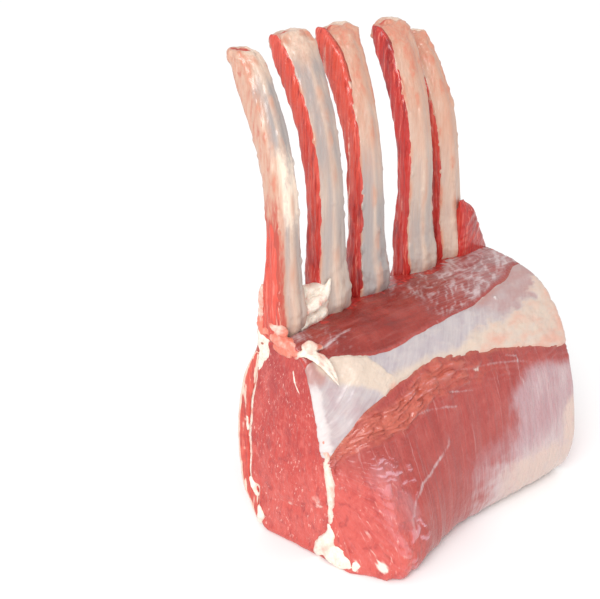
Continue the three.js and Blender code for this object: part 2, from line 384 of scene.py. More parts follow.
# The silverskin band's two edges and the middle of the wrinkled ridge below it, as points on the skin.
BAND_LOW = [(0, 37, 38), (1, 32.4, 38.7), (4, 29.4, 44.7), (9, 26.9, 51.5), (16.5, 25.4, 55),
    (23, 24.5, 58.5), (29, 23.3, 60), (36, 22.4, 62.5), (42, 20.9, 63), (54, 16.9, 62),
    (66, 12.9, 60.5), (78, 9.9, 58.6), (100, 5, 53)]
BAND_HIGH = [(0, 41.8, 70), (5, 39.8, 69), (9, 37.5, 69.2), (16, 33.4, 68.4), (28, 29.2, 69.2),
    (40, 27.9, 71), (52, 26.9, 72.6), (64, 25.3, 74), (77, 26, 75.6), (90, 28, 76.4),
    (100, 31, 76.6)]
RIDGE = [(0, 31.5, 36), (4, 28.9, 42), (8, 25.5, 46), (21, 20.9, 48.4), (35, 19.4, 54.5), (47, 16.9, 55.6),
    (64, 11.9, 55.2), (100, 5, 51)]


def edge(points, x):
    """The angle of a line of points on the skin, where it passes x."""
    p = np.array(points, float)
    return along(x, p[:, 0], angle_of(p))


def spot(p, centre, size, tilt=0.0):
    """1 at a centre in rack mm, fading to 0 at an ellipsoid of three half sizes, turned by tilt in X
    and Z.
    """
    d = np.asarray(p) - np.asarray(centre, float)
    c, s = math.cos(tilt), math.sin(tilt)
    d = np.stack([d[..., 0] * c + d[..., 2] * s, d[..., 1], -d[..., 0] * s + d[..., 2] * c], -1)
    return step(np.linalg.norm(d / np.asarray(size, float), axis=-1), 1, 0.35)


def trace(p, points, half_width, axes=(0, 1, 2)):
    """1 on a line of points, fading to 0 at half_width from it."""
    p, line = np.asarray(p)[..., list(axes)], np.array(points, float)[:, list(axes)]
    nearest = np.full(p.shape[:-1], np.inf)
    for a, b in zip(line, line[1:]):
        t = np.clip(((p - a) @ (b - a)) / ((b - a) @ (b - a)), 0, 1)
        nearest = np.minimum(nearest, np.linalg.norm(p - a - t[..., None] * (b - a), axis=-1))
    return step(nearest, half_width, 0.25 * half_width)


# ---------------------------------------------------------------- meshes


def store(mesh, mask, values):
    """Stores a mask on a mesh's points, for its material to read."""
    attribute = mesh.attributes.new(mask, "FLOAT", "POINT")
    attribute.data.foreach_set("value", np.asarray(values, np.float32).ravel())


def piece(name, points, faces, material, masks=None, smooth=True):
    """A mesh object of points in rack mm, with masks stored on its points."""
    mesh = bpy.data.meshes.new(name)
    mesh.from_pydata(((np.asarray(points).reshape(-1, 3) + CORNER) * MM).tolist(), [], faces)
    mesh.validate()
    mesh.polygons.foreach_set("use_smooth", [smooth] * len(mesh.polygons))
    for mask, values in (masks or {}).items():
        store(mesh, mask, values)
    mesh.materials.append(material)
    made = bpy.data.objects.new(name, mesh)
    bpy.context.scene.collection.objects.link(made)
    return made


def grid_faces(rows, columns, wrap=True, caps=True):
    """Quads of a grid. Wrapped columns join up, and caps close the first and last rows."""
    i = np.arange(rows - 1)[:, None] * columns
    j = np.arange(columns if wrap else columns - 1)[None, :]
    k = (j + 1) % columns
    quads = np.stack(np.broadcast_arrays(i + j, i + k, i + columns + k, i + columns + j), -1)
    faces = [tuple(q) for q in quads.reshape(-1, 4).tolist()]
    if caps:
        faces.append(tuple(range(columns - 1, -1, -1)))
        faces.append(tuple(range((rows - 1) * columns, rows * columns)))
    return faces


def closed_sheet(outer, inner):
    """Points and faces of a sheet with thickness: two equal grids joined round their edges."""
    rows, columns = outer.shape[:2]
    loop = np.concatenate([outer, inner[:, ::-1]], axis=1)
    faces = grid_faces(rows, 2 * columns, caps=False)
    last = (rows - 1) * 2 * columns
    for start, turn in ((0, 1), (last, -1)):
        for j in range(columns - 1):
            quad = (start + j, start + 2 * columns - 1 - j, start + 2 * columns - 2 - j, start + j + 1)
            faces.append(quad[::turn])
    return loop, faces


def finish_piece(made, slot, *replaced):
    """Every piece rides on the one body and stands for its CAD nodes. The slot is not used."""
    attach(made, "root")
    if replaced:
        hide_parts(*replaced)
    return made


def lumps(name, strokes, material, slot, replaced=(), grain=0.5, relief=0.35, seed=1, masks=None):
    """Soft fat or scraps: strokes of balls (x, y, z, radius) fused into one skin and roughened."""
    made = []
    for stroke in strokes:
        balls = np.array(stroke, float)
        reach = np.concatenate([[0], np.cumsum(np.linalg.norm(np.diff(balls[:, :3], axis=0), axis=1))])
        count = max(1, int(reach[-1] / (0.35 * balls[:, 3].min())))
        for d in np.linspace(0, reach[-1], count) if count > 1 else [0.0]:
            ball = [np.interp(d, reach, balls[:, k]) if count > 1 else balls[0, k] for k in range(4)]
            made.append(ball)
    points, faces = [], []
    rings, sides = 7, 12
    up = np.linspace(-1, 1, rings) * (math.pi / 2) * 0.98
    turned = np.arange(sides) * (2 * math.pi / sides)
    unit = np.stack([np.outer(np.cos(up), np.cos(turned)), np.outer(np.cos(up), np.sin(turned)),
        np.outer(np.sin(up), np.ones(sides))], -1).reshape(-1, 3)
    ball_faces = grid_faces(rings, sides)
    for x, y, z, r in made:
        faces += [tuple(i + len(points) for i in f) for f in ball_faces]
        points += (unit * r + (x, y, z)).tolist()
    lumpy = piece(name, points, faces, material)
    remesh = lumpy.modifiers.new("fuse", "REMESH")
    remesh.mode, remesh.voxel_size = "VOXEL", grain * MM
    soften = lumpy.modifiers.new("soften", "SMOOTH")
    soften.factor, soften.iterations = 0.5, 4
    graph = bpy.context.evaluated_depsgraph_get()
    mesh = bpy.data.meshes.new_from_object(lumpy.evaluated_get(graph))
    lumpy.modifiers.clear()
    old, lumpy.data = lumpy.data, mesh
    bpy.data.meshes.remove(old)
    mesh.name = name
    count = len(mesh.vertices)
    co, normal = np.zeros(count * 3), np.zeros(count * 3)
    mesh.vertices.foreach_get("co", co)
    mesh.vertices.foreach_get("normal", normal)
    rack = co.reshape(-1, 3) / MM - CORNER
    bump = relief * rough(rack, 2.6, 3, seed)
    rack += normal.reshape(-1, 3) * bump[:, None]
    rack[:, 2] = np.maximum(rack[:, 2], 0.02)
    mesh.vertices.foreach_set("co", ((rack + CORNER) * MM).ravel())
    mesh.polygons.foreach_set("use_smooth", [True] * len(mesh.polygons))
    for mask, paint in (masks or {}).items():
        store(mesh, mask, paint(rack))
    mesh.update()
    return finish_piece(lumpy, slot, *replaced)


# ---------------------------------------------------------------- materials


def node(tree, kind, inputs=None, **settings):
    """Adds a shader node. Inputs are values or sockets to link, by name or number. Returns its
    outputs.
    """
    made = tree.nodes.new("ShaderNode" + kind)
    for name, value in settings.items():
        setattr(made, name, value)
    for socket, value in (inputs or {}).items():
        if isinstance(value, bpy.types.NodeSocket):
            tree.links.new(value, made.inputs[socket])
        else:
            made.inputs[socket].default_value = value
    return made.outputs


def rgba(value):
    return (*linear(value), 1) if isinstance(value, str) else (*value, 1)


def begin(name, grains, fibre_grains=None):
    """A new material, its node tree and its patterns. A grain has a size in mm along X, Y and Z, or
    across and along the meat's fibres, then how many finer grains lie on it and how far they are
    bent.
    """
    material = bpy.data.materials.new(name)
    material.use_nodes = True
    tree = material.node_tree
    tree.nodes.clear()
    here = node(tree, "TexCoord")["Object"]
    where = node(tree, "Mapping", {"Vector": here, "Scale": (1 / MM,) * 3})[0]
    laid = {i: node(tree, "Attribute", attribute_name=a)["Fac"]
        for i, a in enumerate(("across", "lengthwise"))}
    fibres = node(tree, "CombineXYZ", laid)[0]
    patterns = {}
    for space, group in ((where, grains), (fibres, fibre_grains or {})):
        for grain, (size, finer, bend) in group.items():
            scaled = node(tree, "Mapping", {"Vector": space, "Scale": [1 / s for s in size]})[0]
            patterns[grain] = node(tree, "TexNoise", {"Vector": scaled, "Scale": 1.0, "Detail": finer,
                "Roughness": 0.6, "Distortion": bend})["Fac"]
    return material, tree, patterns


WEAR = 0.9  # how much of a stored mask's range its breakup takes


def coats(tree, patterns, base, layers):
    """Colours laid over a base. A coat has its pattern, the values where it starts and is full, its
    strength and its colour. A pattern written mask/grain is a stored mask whose edge the grain
    breaks up.
    """
    if not isinstance(base, bpy.types.NodeSocket):
        base = rgba(base)
    for pattern, start, full, strength, over in layers:
        mask, _, grain = pattern.rpartition("/")
        value, middle = patterns[grain], 0.0
        if mask:
            stored = node(tree, "Attribute", attribute_name=mask)["Fac"]
            value = node(tree, "Math", {0: value, 1: WEAR, 2: stored}, operation="MULTIPLY_ADD")[0]
            middle = WEAR / 2
        share = node(tree, "MapRange", {"Value": value, "From Min": start + middle, "From Max": full + middle,
            "To Max": strength}, interpolation_type="SMOOTHSTEP")[0]
        over = over if isinstance(over, bpy.types.NodeSocket) else rgba(over)
        base = node(tree, "Mix", {0: share, 6: base, 7: over}, data_type="RGBA")[2]
    return base


def surface(tree, base, bump, height, **settings):
    """The shader and the output: a colour, a bump field with its height in mm, and socket values."""
    normal = node(tree, "Bump", {"Height": bump, "Distance": height * MM, "Strength": 1.0})[0]
    values = {"Base Color": base, "Normal": normal, **{k.replace("_", " "): v for k, v in settings.items()}}
    shader = node(tree, "BsdfPrincipled", values)[0]
    node(tree, "OutputMaterial", {"Surface": shader})


# Raw lamb muscle, knife-cut at the two faces and pulled clean along the side. The cut is mottled, with
# short flecks along its fibres, partly fat and partly painted wet glints, and the side shows the bundles and
# their filmy membranes.
def knife_cut_muscle(context):
    meat, fat = context.scene.rack_meat, context.scene.rack_fat
    material, tree, patterns = begin("raw_lamb_muscle_knife_cut", {
        "broad": ((9, 9, 12), 3, 0.0),
        "mottle": ((3.2, 3.2, 4.2), 4, 0.4),
        "fine": ((0.9, 0.9, 1.6), 4, 0.0),
        "worn": ((3, 3, 5), 4, 0.0),
        "fields": ((5, 5, 7), 2, 0.0),
        "speck": ((1.0, 1.0, 1.0), 3, 0.3),
    }, {
        "wide": ((3.2, 28, 9), 4, 0.3),
        "thin": ((0.8, 13, 9), 4, 0.2),
        "fleck": ((0.55, 2.0, 9), 2, 0.2),
        "glint": ((2.6, 0.8, 9), 2, 0.5),
        "vein": ((1.1, 34, 9), 3, 0.6),
        "wisp": ((3.0, 8, 9), 5, 0.9),
        "floss": ((0.6, 6.5, 9), 4, 0.7),
    })
    # the cut face
    marbling_and_glints = node(tree, "MapRange", {"Value": patterns["fields"], "From Min": 0.42, "From Max": 0.62,
        "To Min": 0.05, "To Max": 0.7})[0]
    face = coats(tree, patterns, meat.cut, [
        ("deep/mottle", 0.1, 1.1, 0.75, "8f2329"),
        ("light/mottle", 0.1, 1.2, 0.8, "cf5a50"),
        ("broad", 0.45, 0.65, 0.5, "c4473d"),
        ("mottle", 0.48, 0.3, 0.6, "94272a"),
        ("mottle", 0.52, 0.7, 0.6, "cd6057"),
        ("wide", 0.52, 0.7, 0.3, "cf6a60"),
        ("thin", 0.48, 0.3, 0.35, "8e2527"),
        ("fine", 0.5, 0.75, 0.35, "d67468"),
        # flecks and specks: partly fat, partly painted highlights for wet glints
        ("fleck", 0.58, 0.72, marbling_and_glints, "f0c4b9"),
        ("speck", 0.66, 0.78, marbling_and_glints, "f2c8bc"),
        # painted shade in the creases and fold valleys
        ("dark/worn", 0.25, 1.0, 1.0, "80271f"),
        ("fat/worn", 0.3, 0.8, 1.0, fat.fat),
    ])
    # the side below the silverskin and the strip above it
    side = coats(tree, patterns, meat.flank, [
        ("broad", 0.45, 0.68, 0.4, "ae5049"),
        ("deep/mottle", 0.1, 1.1, 0.8, "86302e"),
        ("light/mottle", 0.1, 1.2, 0.8, "c25a50"),
        ("mottle", 0.5, 0.3, 0.3, "8a302c"),
        ("mottle", 0.52, 0.7, 0.3, "b4554c"),
        ("wide", 0.5, 0.68, 0.3, "b55a52"),
        ("wide", 0.5, 0.32, 0.35, "8c322d"),
        ("thin", 0.55, 0.78, 0.25, "c98880"),
        ("thin", 0.45, 0.28, 0.2, "84302b"),
        ("vein", 0.62, 0.7, 0.25, "cd9f9c"),
    ])
    strip = coats(tree, patterns, meat.strip, [
        ("broad", 0.45, 0.68, 0.6, "a24035"),
        ("broad", 0.5, 0.3, 0.6, "75221c"),
        ("wide", 0.52, 0.7, 0.4, "ac544a"),
        ("wide", 0.48, 0.3, 0.5, "78231d"),
        ("thin", 0.55, 0.8, 0.45, "b06c61"),
    ])
    side = coats(tree, patterns, side, [("upper/speck", 0.2, 0.8, 1.0, strip)])
    side = coats(tree, patterns, side, [
        ("ridge/worn", 0.15, 1.0, 1.0, meat.ridge),
        # painted shade in the creases and fold valleys
        ("dark/worn", 0.25, 1.0, 0.8, "8a2e25"),
        ("violet/wisp", 0.0, 1.1, 1.0, "b08c90"),
        ("glints/glint", 0.35, 0.85, 0.7, "d6acb8"),
        ("film/floss", 0.1, 1.05, 1.0, "c3acac"),
        ("tan/worn", 0.2, 1.1, 0.8, "b9785a"),
        ("fat/worn", 0.2, 0.9, 1.0, "cdb3a8"),
    ])
    cut = node(tree, "Attribute", attribute_name="cut")["Fac"]
    base = node(tree, "Mix", {0: cut, 6: side, 7: face}, data_type="RGBA")[2]
    relief = node(tree, "Mix", {0: 0.3, 6: patterns["fine"], 7: patterns["thin"]}, data_type="RGBA")[2]
    surface(tree, base, relief, 0.55, Roughness=0.38, IOR=1.38, Coat_Weight=0.55, Coat_Roughness=0.12,
        Subsurface_Weight=0.1, Subsurface_Radius=(1.0, 0.25, 0.2), Subsurface_Scale=2 * MM)
    return material


# Meat between and beside the ribs, scraped with a knife: darker, with long wet strands.
def scraped_rib_flesh(context):
    meat = context.scene.rack_meat
    material, tree, patterns = begin("raw_rib_flesh_scraped", {
        "strands": ((0.8, 0.8, 13), 4, 0.5),
        "broad": ((4, 4, 12), 3, 0.0),
        "patches": ((2.5, 2.5, 6), 5, 0.5),
    })
    base = coats(tree, patterns, meat.flesh, [
        ("broad", 0.42, 0.62, 0.6, "bb2a22"),
        ("broad", 0.48, 0.3, 0.7, "7a1016"),
        ("pale/patches", 0.05, 1.0, 0.85, "d2513f"),
        ("strands", 0.54, 0.7, 0.65, "e08070"),
        ("strands", 0.49, 0.3, 0.62, "7d1118"),
        ("brown/patches", 0.2, 0.9, 1.0, "8c3a30"),
        ("film/patches", 0.2, 1.1, 1.0, "d2aaa2"),
        ("fat/patches", 0.3, 0.85, 1.0, "e4c4b2"),
    ])
    surface(tree, base, patterns["strands"], 0.4, Roughness=0.3, IOR=1.38, Coat_Weight=0.55,
        Coat_Roughness=0.12,
        Subsurface_Weight=0.1, Subsurface_Radius=(1.0, 0.2, 0.15), Subsurface_Scale=2 * MM)
    return material


# Hard lamb fat, cut and torn: waxy and nearly white, pinker where it is thin over the meat.
def torn_hard_fat(context):
    fat = context.scene.rack_fat
    material, tree, patterns = begin("hard_lamb_fat_torn", {
        "broad": ((3, 3, 4), 3, 0.0),
        "fine": ((0.8, 0.8, 0.8), 4, 0.0),
        "patches": ((1.8, 1.8, 2.4), 4, 0.5),
    })
    base = coats(tree, patterns, fat.fat, [
        ("broad", 0.5, 0.35, 0.5, fat.cream),
        ("fine", 0.52, 0.35, 0.3, "dcb8a2"),
        ("pink/patches", 0.1, 1.0, 1.0, "d87560"),
        ("brown/fine", 0.4, 0.8, 1.0, "a5604a"),
    ])
    surface(tree, base, patterns["fine"], 0.35, Roughness=0.38, IOR=1.45, Coat_Weight=0.3, Coat_Roughness=0.2,
        Subsurface_Weight=0.2, Subsurface_Radius=(1.0, 0.6, 0.45), Subsurface_Scale=2 * MM)
    return material


# Silverskin: a thin collagen membrane pulled bare, with a pearly blue-grey sheen and fine lines
# along its fibres, and cream fat left on it in patches.
def pulled_silverskin(context):
    fat = context.scene.rack_fat
    material, tree, patterns = begin("lamb_silverskin_pulled", {
        "broad": ((8, 5, 5), 3, 0.0),
        "patches": ((4, 3, 3), 5, 0.5),
        "crumbs": ((1.3, 1.3, 1.3), 4, 0.5),
    }, {
        "lines": ((0.9, 11, 9), 4, 0.4),
        "streaks": ((2.6, 16, 9), 3, 0.5),
    })
    base = coats(tree, patterns, fat.film, [
        ("broad", 0.45, 0.65, 0.5, "a79ca4"),
        ("patches", 0.5, 0.7, 0.4, "c4bab6"),
        ("streaks", 0.5, 0.7, 0.5, "bfb5b3"),
        ("streaks", 0.5, 0.3, 0.4, "9f9096"),
        ("lines", 0.52, 0.72, 0.4, "c9c0bd"),
        ("lines", 0.5, 0.3, 0.25, "978790"),
        # the membrane's lilac tint, and painted shade on the near triangle
        ("lilac/broad", 0.0, 1.1, 1.0, "ae827c"),
        ("white/patches", 0.2, 1.0, 1.0, "d2c8c6"),
        ("cream/patches", 0.0, 1.1, 1.0, fat.cream),
        ("cream/crumbs", 0.9, 1.6, 0.5, "decdbf"),
        ("pink/patches", 0.05, 1.2, 0.9, "cf9a88"),
    ])
    surface(tree, base, patterns["lines"], 0.14, Roughness=0.36, IOR=1.42, Coat_Weight=0.3,
        Coat_Roughness=0.24,
        Subsurface_Weight=0.12, Subsurface_Radius=(1.0, 0.7, 0.6), Subsurface_Scale=1.5 * MM)
    return material


# Rib bone scraped clean with a knife: ivory with scraping lines along it, a grey stripe where the
# marrow shows through, and blood-stained edges and ends.
def scraped_rib_bone(context):
    bone = context.scene.rack_bone
    material, tree, patterns = begin("rib_bone_scraped", {
        "lines": ((0.8, 0.8, 16), 4, 0.2),
        "broad": ((4, 4, 14), 3, 0.0),
        "specks": ((1.1, 1.1, 2.6), 5, 0.4),
        "shreds": ((0.9, 0.9, 5), 3, 0.4),
    })
    base = coats(tree, patterns, bone.ivory, [
        ("broad", 0.42, 0.62, 0.6, "cdb6a5"),
        ("broad", 0.5, 0.3, 0.5, "ad8b7a"),
        ("lines", 0.5, 0.3, 0.5, "a58873"),
        ("grey/lines", 0.0, 1.0, 1.0, bone.shade),
        ("cream/specks", 0.2, 0.8, 1.0, "e6d2bf"),
        ("blush/lines", 0.0, 1.1, 1.0, bone.blush),
        ("blush/specks", 0.78, 1.2, 0.6, "c4674f"),
        ("red/shreds", 0.35, 0.8, 1.0, "b0402f"),
    ])
    surface(tree, base, patterns["lines"], 0.16, Roughness=0.34, IOR=1.5, Coat_Weight=0.35,
        Coat_Roughness=0.16,
        Subsurface_Weight=0.08, Subsurface_Radius=(1.0, 0.6, 0.4), Subsurface_Scale=1.5 * MM)
    return material


def material_of(build, context):
    """The material a function makes, made once."""
    if build.__name__ not in MATERIALS:
        MATERIALS[build.__name__] = build(context)
    return MATERIALS[build.__name__]


MATERIALS = {}


# ---------------------------------------------------------------- relief and masks of the eye


GIRTH_MM = 38.0  # mm round the girth for each radian
WALL_GIRTH_MM = 36.0  # the same on the rib wall


def flattened(p, angle):
    """The side unrolled: mm along the back and mm round the girth."""
    return np.stack([p[..., 0], angle * GIRTH_MM + 0 * p[..., 0], 0 * p[..., 0]], -1)


def under_band(x, angle, slack=0.0):
    """1 under the silverskin band, 0 outside, with a soft edge."""
    low, high = edge(BAND_LOW, x), edge(BAND_HIGH, x)
    return step((angle - low) * GIRTH_MM + slack, 0, 2.2) * step((high - angle) * GIRTH_MM + slack, 0, 2.2)


def side_relief(p, angle, meat):
    """How far the meat's side stands above its smooth skin, in mm, and the masks that go with it."""
    x, z = p[..., 0], p[..., 2]
    flat = flattened(p, angle)
    up = (flat[..., 1] - edge(RIDGE, x) * GIRTH_MM)  # mm above the ridge line
    low = (flat[..., 1] - edge(BAND_LOW, x) * GIRTH_MM)
    # the dried ridge: rounded knots along the band's lower edge, largest near the near cut
    fade = along(x, [(0, 0.6), (6, 1), (38, 1), (60, 0.4), (100, 0.2)])
    ridge = np.exp(-(((up - 1) / 7.6) ** 4)) * fade
    bend = np.stack([rough(flat, 7, 2, 12), rough(flat, 7, 2, 13), 0 * x], -1)
    beside = np.stack([x, up, 0 * x], -1) + 1.6 * bend
    folds = creased(beside, (7.5, 3.0, 9), 2, 11) ** 0.65
    knots = rough(beside + 40, (3.6, 1.8, 9), 3, 16)
    wrinkle = meat.wrinkle / MM
    height = ridge * ((folds * 1.35 - 0.5) * wrinkle + knots * 0.85)
    crease = (np.exp(-(((up + 5.5 + 1.6 * rough(flat, 8, 2, 14)) / 1.0) ** 2))
        * step(x, 7, 14) * step(x, 40, 26))
    height -= crease * 0.45 * step(rough(flat, 5, 2, 17), -0.3, 0.2)
    # curved ripples on the near bulge, and torn grain where it meets the cut
    bulge = step(x, 1, 5) * step(x, 28, 15) * step(z, 47, 36)
    ripples = creased(flat + 4.5 * bend, (5.5, 2.1, 9), 2, 23)
    torn = step(x, 20, 6) * step(z, 44, 30)
    height += bulge * (ripples - 0.3) * 0.9 + torn * 0.8 * rough(flat, (2.4, 3.2, 9), 3, 24)
    # fibres round the girth, in long bundles
    fibre = meat.fibre / MM
    lower = step(low, 0, -4)
    strands = noise(flat, (1.5, 20, 9), 31) + 0.5 * noise(flat, (0.8, 12, 9), 32)
    height += lower * strands * fibre + 0.45 * lower * noise(flat, (5, 26, 9), 33)
    # long fibres along the strip below the ribs
    strip = step(flat[..., 1] - edge(BAND_HIGH, x) * GIRTH_MM, -1, 3)
    length_wise = noise(flat, (16, 1.8, 9), 41) + 0.6 * noise(flat, (9, 1.0, 9), 42)
    height += strip * length_wise * fibre * 1.3 + strip * 0.5 * rough(p, 7, 3, 43)
    height += 0.3 * rough(p, 10, 2, 51)
    valleys = step(folds, 0.34, 0.1)
    masks = {
        "ridge": np.clip(ridge * (0.5 + 0.6 * folds) + 0.25 * bulge * ripples, 0, 1),
        # painted shade: darker in the crease below the ridge, in the ridge's fold valleys and in the bulge's
        # ripple valleys
        "dark": np.clip(0.4 * crease + ridge * valleys * 0.55
        + 0.5 * bulge * step(ripples, 0.25, 0.05), 0, 1),
        "glints": np.clip(0.7 * bulge * step(ripples, 0.3, 0.7) * step(x, 4, 10)
        + 0.5 * ridge * step(folds, 0.4, 0.8)
            + 0.4 * torn, 0, 1),
        "fresh": 0.8 * step(x, 22, 7) * step(z, 42, 26),
        "upper": strip,
        "light": np.clip(0.95 * step(x, 24, 8) * step(z, 44, 24) + 0.6 * rough(p, 11, 2, 52) * lower, 0, 1),
        "deep": np.clip(0.9 * spot(p, (10, 11, 24), (9, 10, 14))
        + 0.4 * step(low, -9, -2) * step(x, 34, 50) + 0.7 * np.clip(rough(p, 9, 2, 53), 0, 1), 0, 1),
        "across": x + (flat[..., 1] - x) * (strip > 0.5),
        "lengthwise": flat[..., 1] + (x - flat[..., 1]) * (strip > 0.5),
    }
    return height, masks


def side_paint(p, angle):
    """Film, violet sheen, tan edges and fat on the meat's side."""
    x, z = p[..., 0], p[..., 2]
    flat = flattened(p, angle)
    low = (flat[..., 1] - edge(BAND_LOW, x) * GIRTH_MM)
    high = (flat[..., 1] - edge(BAND_HIGH, x) * GIRTH_MM)
    wisps = rough(flat, (8, 3.2, 9), 4, 61)
    upright = 0.6 * rough(flat, (2.2, 18, 9), 4, 62) + 0.5 * rough(flat, (10, 16, 9), 2, 66)
    slanted = np.stack([flat[..., 0] * 0.8 + flat[..., 1] * 0.6,
        flat[..., 1] * 0.8 - flat[..., 0] * 0.6, 0 * x], -1)
    web = step(creased(slanted + 2 * rough(flat, 5, 2, 68)[..., None], (8, 2.4, 9), 2, 67), 0.42, 0.06)
    wander = p + 0.6 * np.stack([rough(p, 5, 2, 63), 0 * x, rough(p, 5, 2, 64)], -1)
    faint = 0.4 + 0.6 * step(rough(p, 7, 2, 65), -0.4, 0.3)
    streak = trace(wander, [(37.6, 13.1, 39.2), (36.6, 12.2, 35.6), (30.6, 12, 32), (26.6, 11.8, 29.6),
        (22.3, 11.8, 28.2), (17.5, 10.6, 23.6), (14.1, 9.3, 19.4), (13.3, 7.4, 13.5)], 1.0)
    line = trace(wander, [(22, 19, 47), (27.6, 18.6, 47.9), (34.1, 17, 48.1), (43.3, 14.4, 46.5)], 0.7)
    line += trace(wander, [(42.3, 16.5, 51.2), (51.4, 13.6, 49.1)], 0.55)
    line += trace(wander, [(69, 13, 56), (73.8, 11.4, 54.4), (72.1, 9, 48.3), (73.4, 7.6, 44.8)], 0.55)
    line += 0.8 * trace(wander, [(46, 18, 57), (58, 15, 55.5), (66, 13, 54.5), (80, 9, 51)], 0.7)
    film = (0.6 * streak + 0.6 * line) * faint
    start = 62 + 11 * step(low, -24, -8) + 9 * upright  # where the far end's lilac sheen starts
    sheen = step(x - start, -2, 11) * step(low + 2 * upright, -4, -12)
    film += sheen * np.clip(0.32 + 0.9 * upright + 0.15 * step(x, 70, 94), 0, 0.9)
    film += step(high, -1, 2) * (step(x, 42, 56) * (0.18 + web * (0.35 + 0.5 * wisps))
        + step(x, 56, 84) * (0.3 + 0.5 * wisps))
    film += step(high, 0, 3) * step(x, 34, 4) * (0.3 * web + 0.4 * step(wisps, -0.15, 0.35))
    film += 0.45 * trace(wander, [(4.6, 42.2, 70.9), (9.4, 41, 72), (15.8, 41.4, 73.4), (21, 40.8, 74)], 0.7)
    foot_film = step(z, 30, 14) * step(x, 34, 60)
    film += foot_film * np.clip(0.75 + 1.0 * wisps, 0, 1)
    violet = spot(p, (10, 17, 32), (8, 10, 9)) * 0.45 + spot(p, (12, 11, 22), (9, 9, 10)) * 0.6
    violet += 0.9 * sheen + spot(p, (56, 5, 22), (22, 9, 14)) * 0.45
    fat = (spot(p, (55.1, 15.5, 55.1), (2.0, 2.4, 1.2), -0.3) * step(noise(p, 1.3, 69), -0.5, 0.3)
        + 0.8 * spot(p, (3.7, 12.8, 5.5), (2.2, 3, 2.4)))
    fat += step(x, 46, 74) * step(z, 25, 15) * (0.85 + 0.6 * wisps)
    fat += spot(p, (98, 0, 26), (10, 9, 12)) * (0.9 + 0.6 * wisps)
    fat += 0.6 * step(noise(p, 2.2, 70), 0.3, 0.6) * step(z, 18, 8) * step(x, 22, 8)
    fat += 0.3 * step(z, 14, 4) * step(x, 24, 10) * step(wisps, -0.4, 0.3)
    fat += 0.8 * spot(p, (11, 7.8, 10.5), (5, 4, 2.2)) * step(wisps, -0.2, 0.2)
    tan = 0.5 * step(low, -3.5, -0.2) * step(high, 0.4, -0.8)
    names = {"film": film, "violet": violet, "fat": fat, "tan": tan}
    return {name: np.clip(mask, 0, 1) for name, mask in names.items()}


# Where the small lower muscle meets the eye, on the near cut.
FURROW = [(0, 60.1, 13.3), (0, 52.6, 15.5), (0, 45.4, 15.9), (0, 40.4, 18.2), (0, 32, 20.9)]


def face_relief(p, edge_distance):
    """How far a cut face stands out, in mm."""
    height = 0.5 * step(edge_distance, 0, 14) - 0.2
    height += 0.45 * rough(p, (9, 6, 9), 3, 71) + 0.22 * rough(p, (2, 1.2, 3.4), 2, 74)
    furrow = trace(p, FURROW, 2.6, (1, 2))
    height -= 0.5 * furrow * step(p[..., 0], 20, 5)
    return height


FAN = (43.0, 86.0)  # Y and Z of the point that the near cut's fibres fan down from


def face_paint(p, near):
    """Fat, tones and fibre directions on a cut face."""
    y, z = p[..., 1], p[..., 2]
    fat = 0.7 * trace(p, [(0, 46.9, 64.5), (0, 46.2, 61), (0, 44.5, 57.8)], 0.5, (1, 2))
    fat += spot(p * [0, 1, 1], (0, 60.4, 68), (1, 3.6, 6.5), 0)
    fat += trace(p, [(0, 60.5, 64), (0, 62.5, 60), (0, 63.6, 54)], 1.0, (1, 2))
    faint = trace(p, [(0, 54.1, 12.8), (0, 50.9, 7.8), (0, 47.8, 4)], 0.6, (1, 2))
    faint += trace(p, [(0, 45.9, 11.5), (0, 44, 7)], 0.6, (1, 2))
    faint += trace(p, FURROW, 0.8, (1, 2))
    fleck = spot(p * [0, 1, 1], (0, 37, 22), (1, 3.4, 3.2))
    swirl = rough(p * [0, 1, 1], 16, 2, 75)
    masks = {
        "fat": near * (fat + 0.42 * faint + 0.35 * fleck),
        "deep": 0.6 * step(z, 42, 66) + 0.35 * step(y, 48, 62) + 0.3 * swirl,
        "light": 0.8 * step(z, 44, 16) + 0.3 * swirl + 0.3 * step(y, 46, 34),
        "tan": 0 * y,
        "upper": 0 * y,
    }
    masks = {name: np.clip(mask, 0, 1) for name, mask in masks.items()}
    masks["across"] = 40 * np.arctan2(y - FAN[0] + 2 * swirl, FAN[1] - z)
    masks["lengthwise"] = np.hypot(y - FAN[0], FAN[1] - z)
    return masks


# ---------------------------------------------------------------- operators


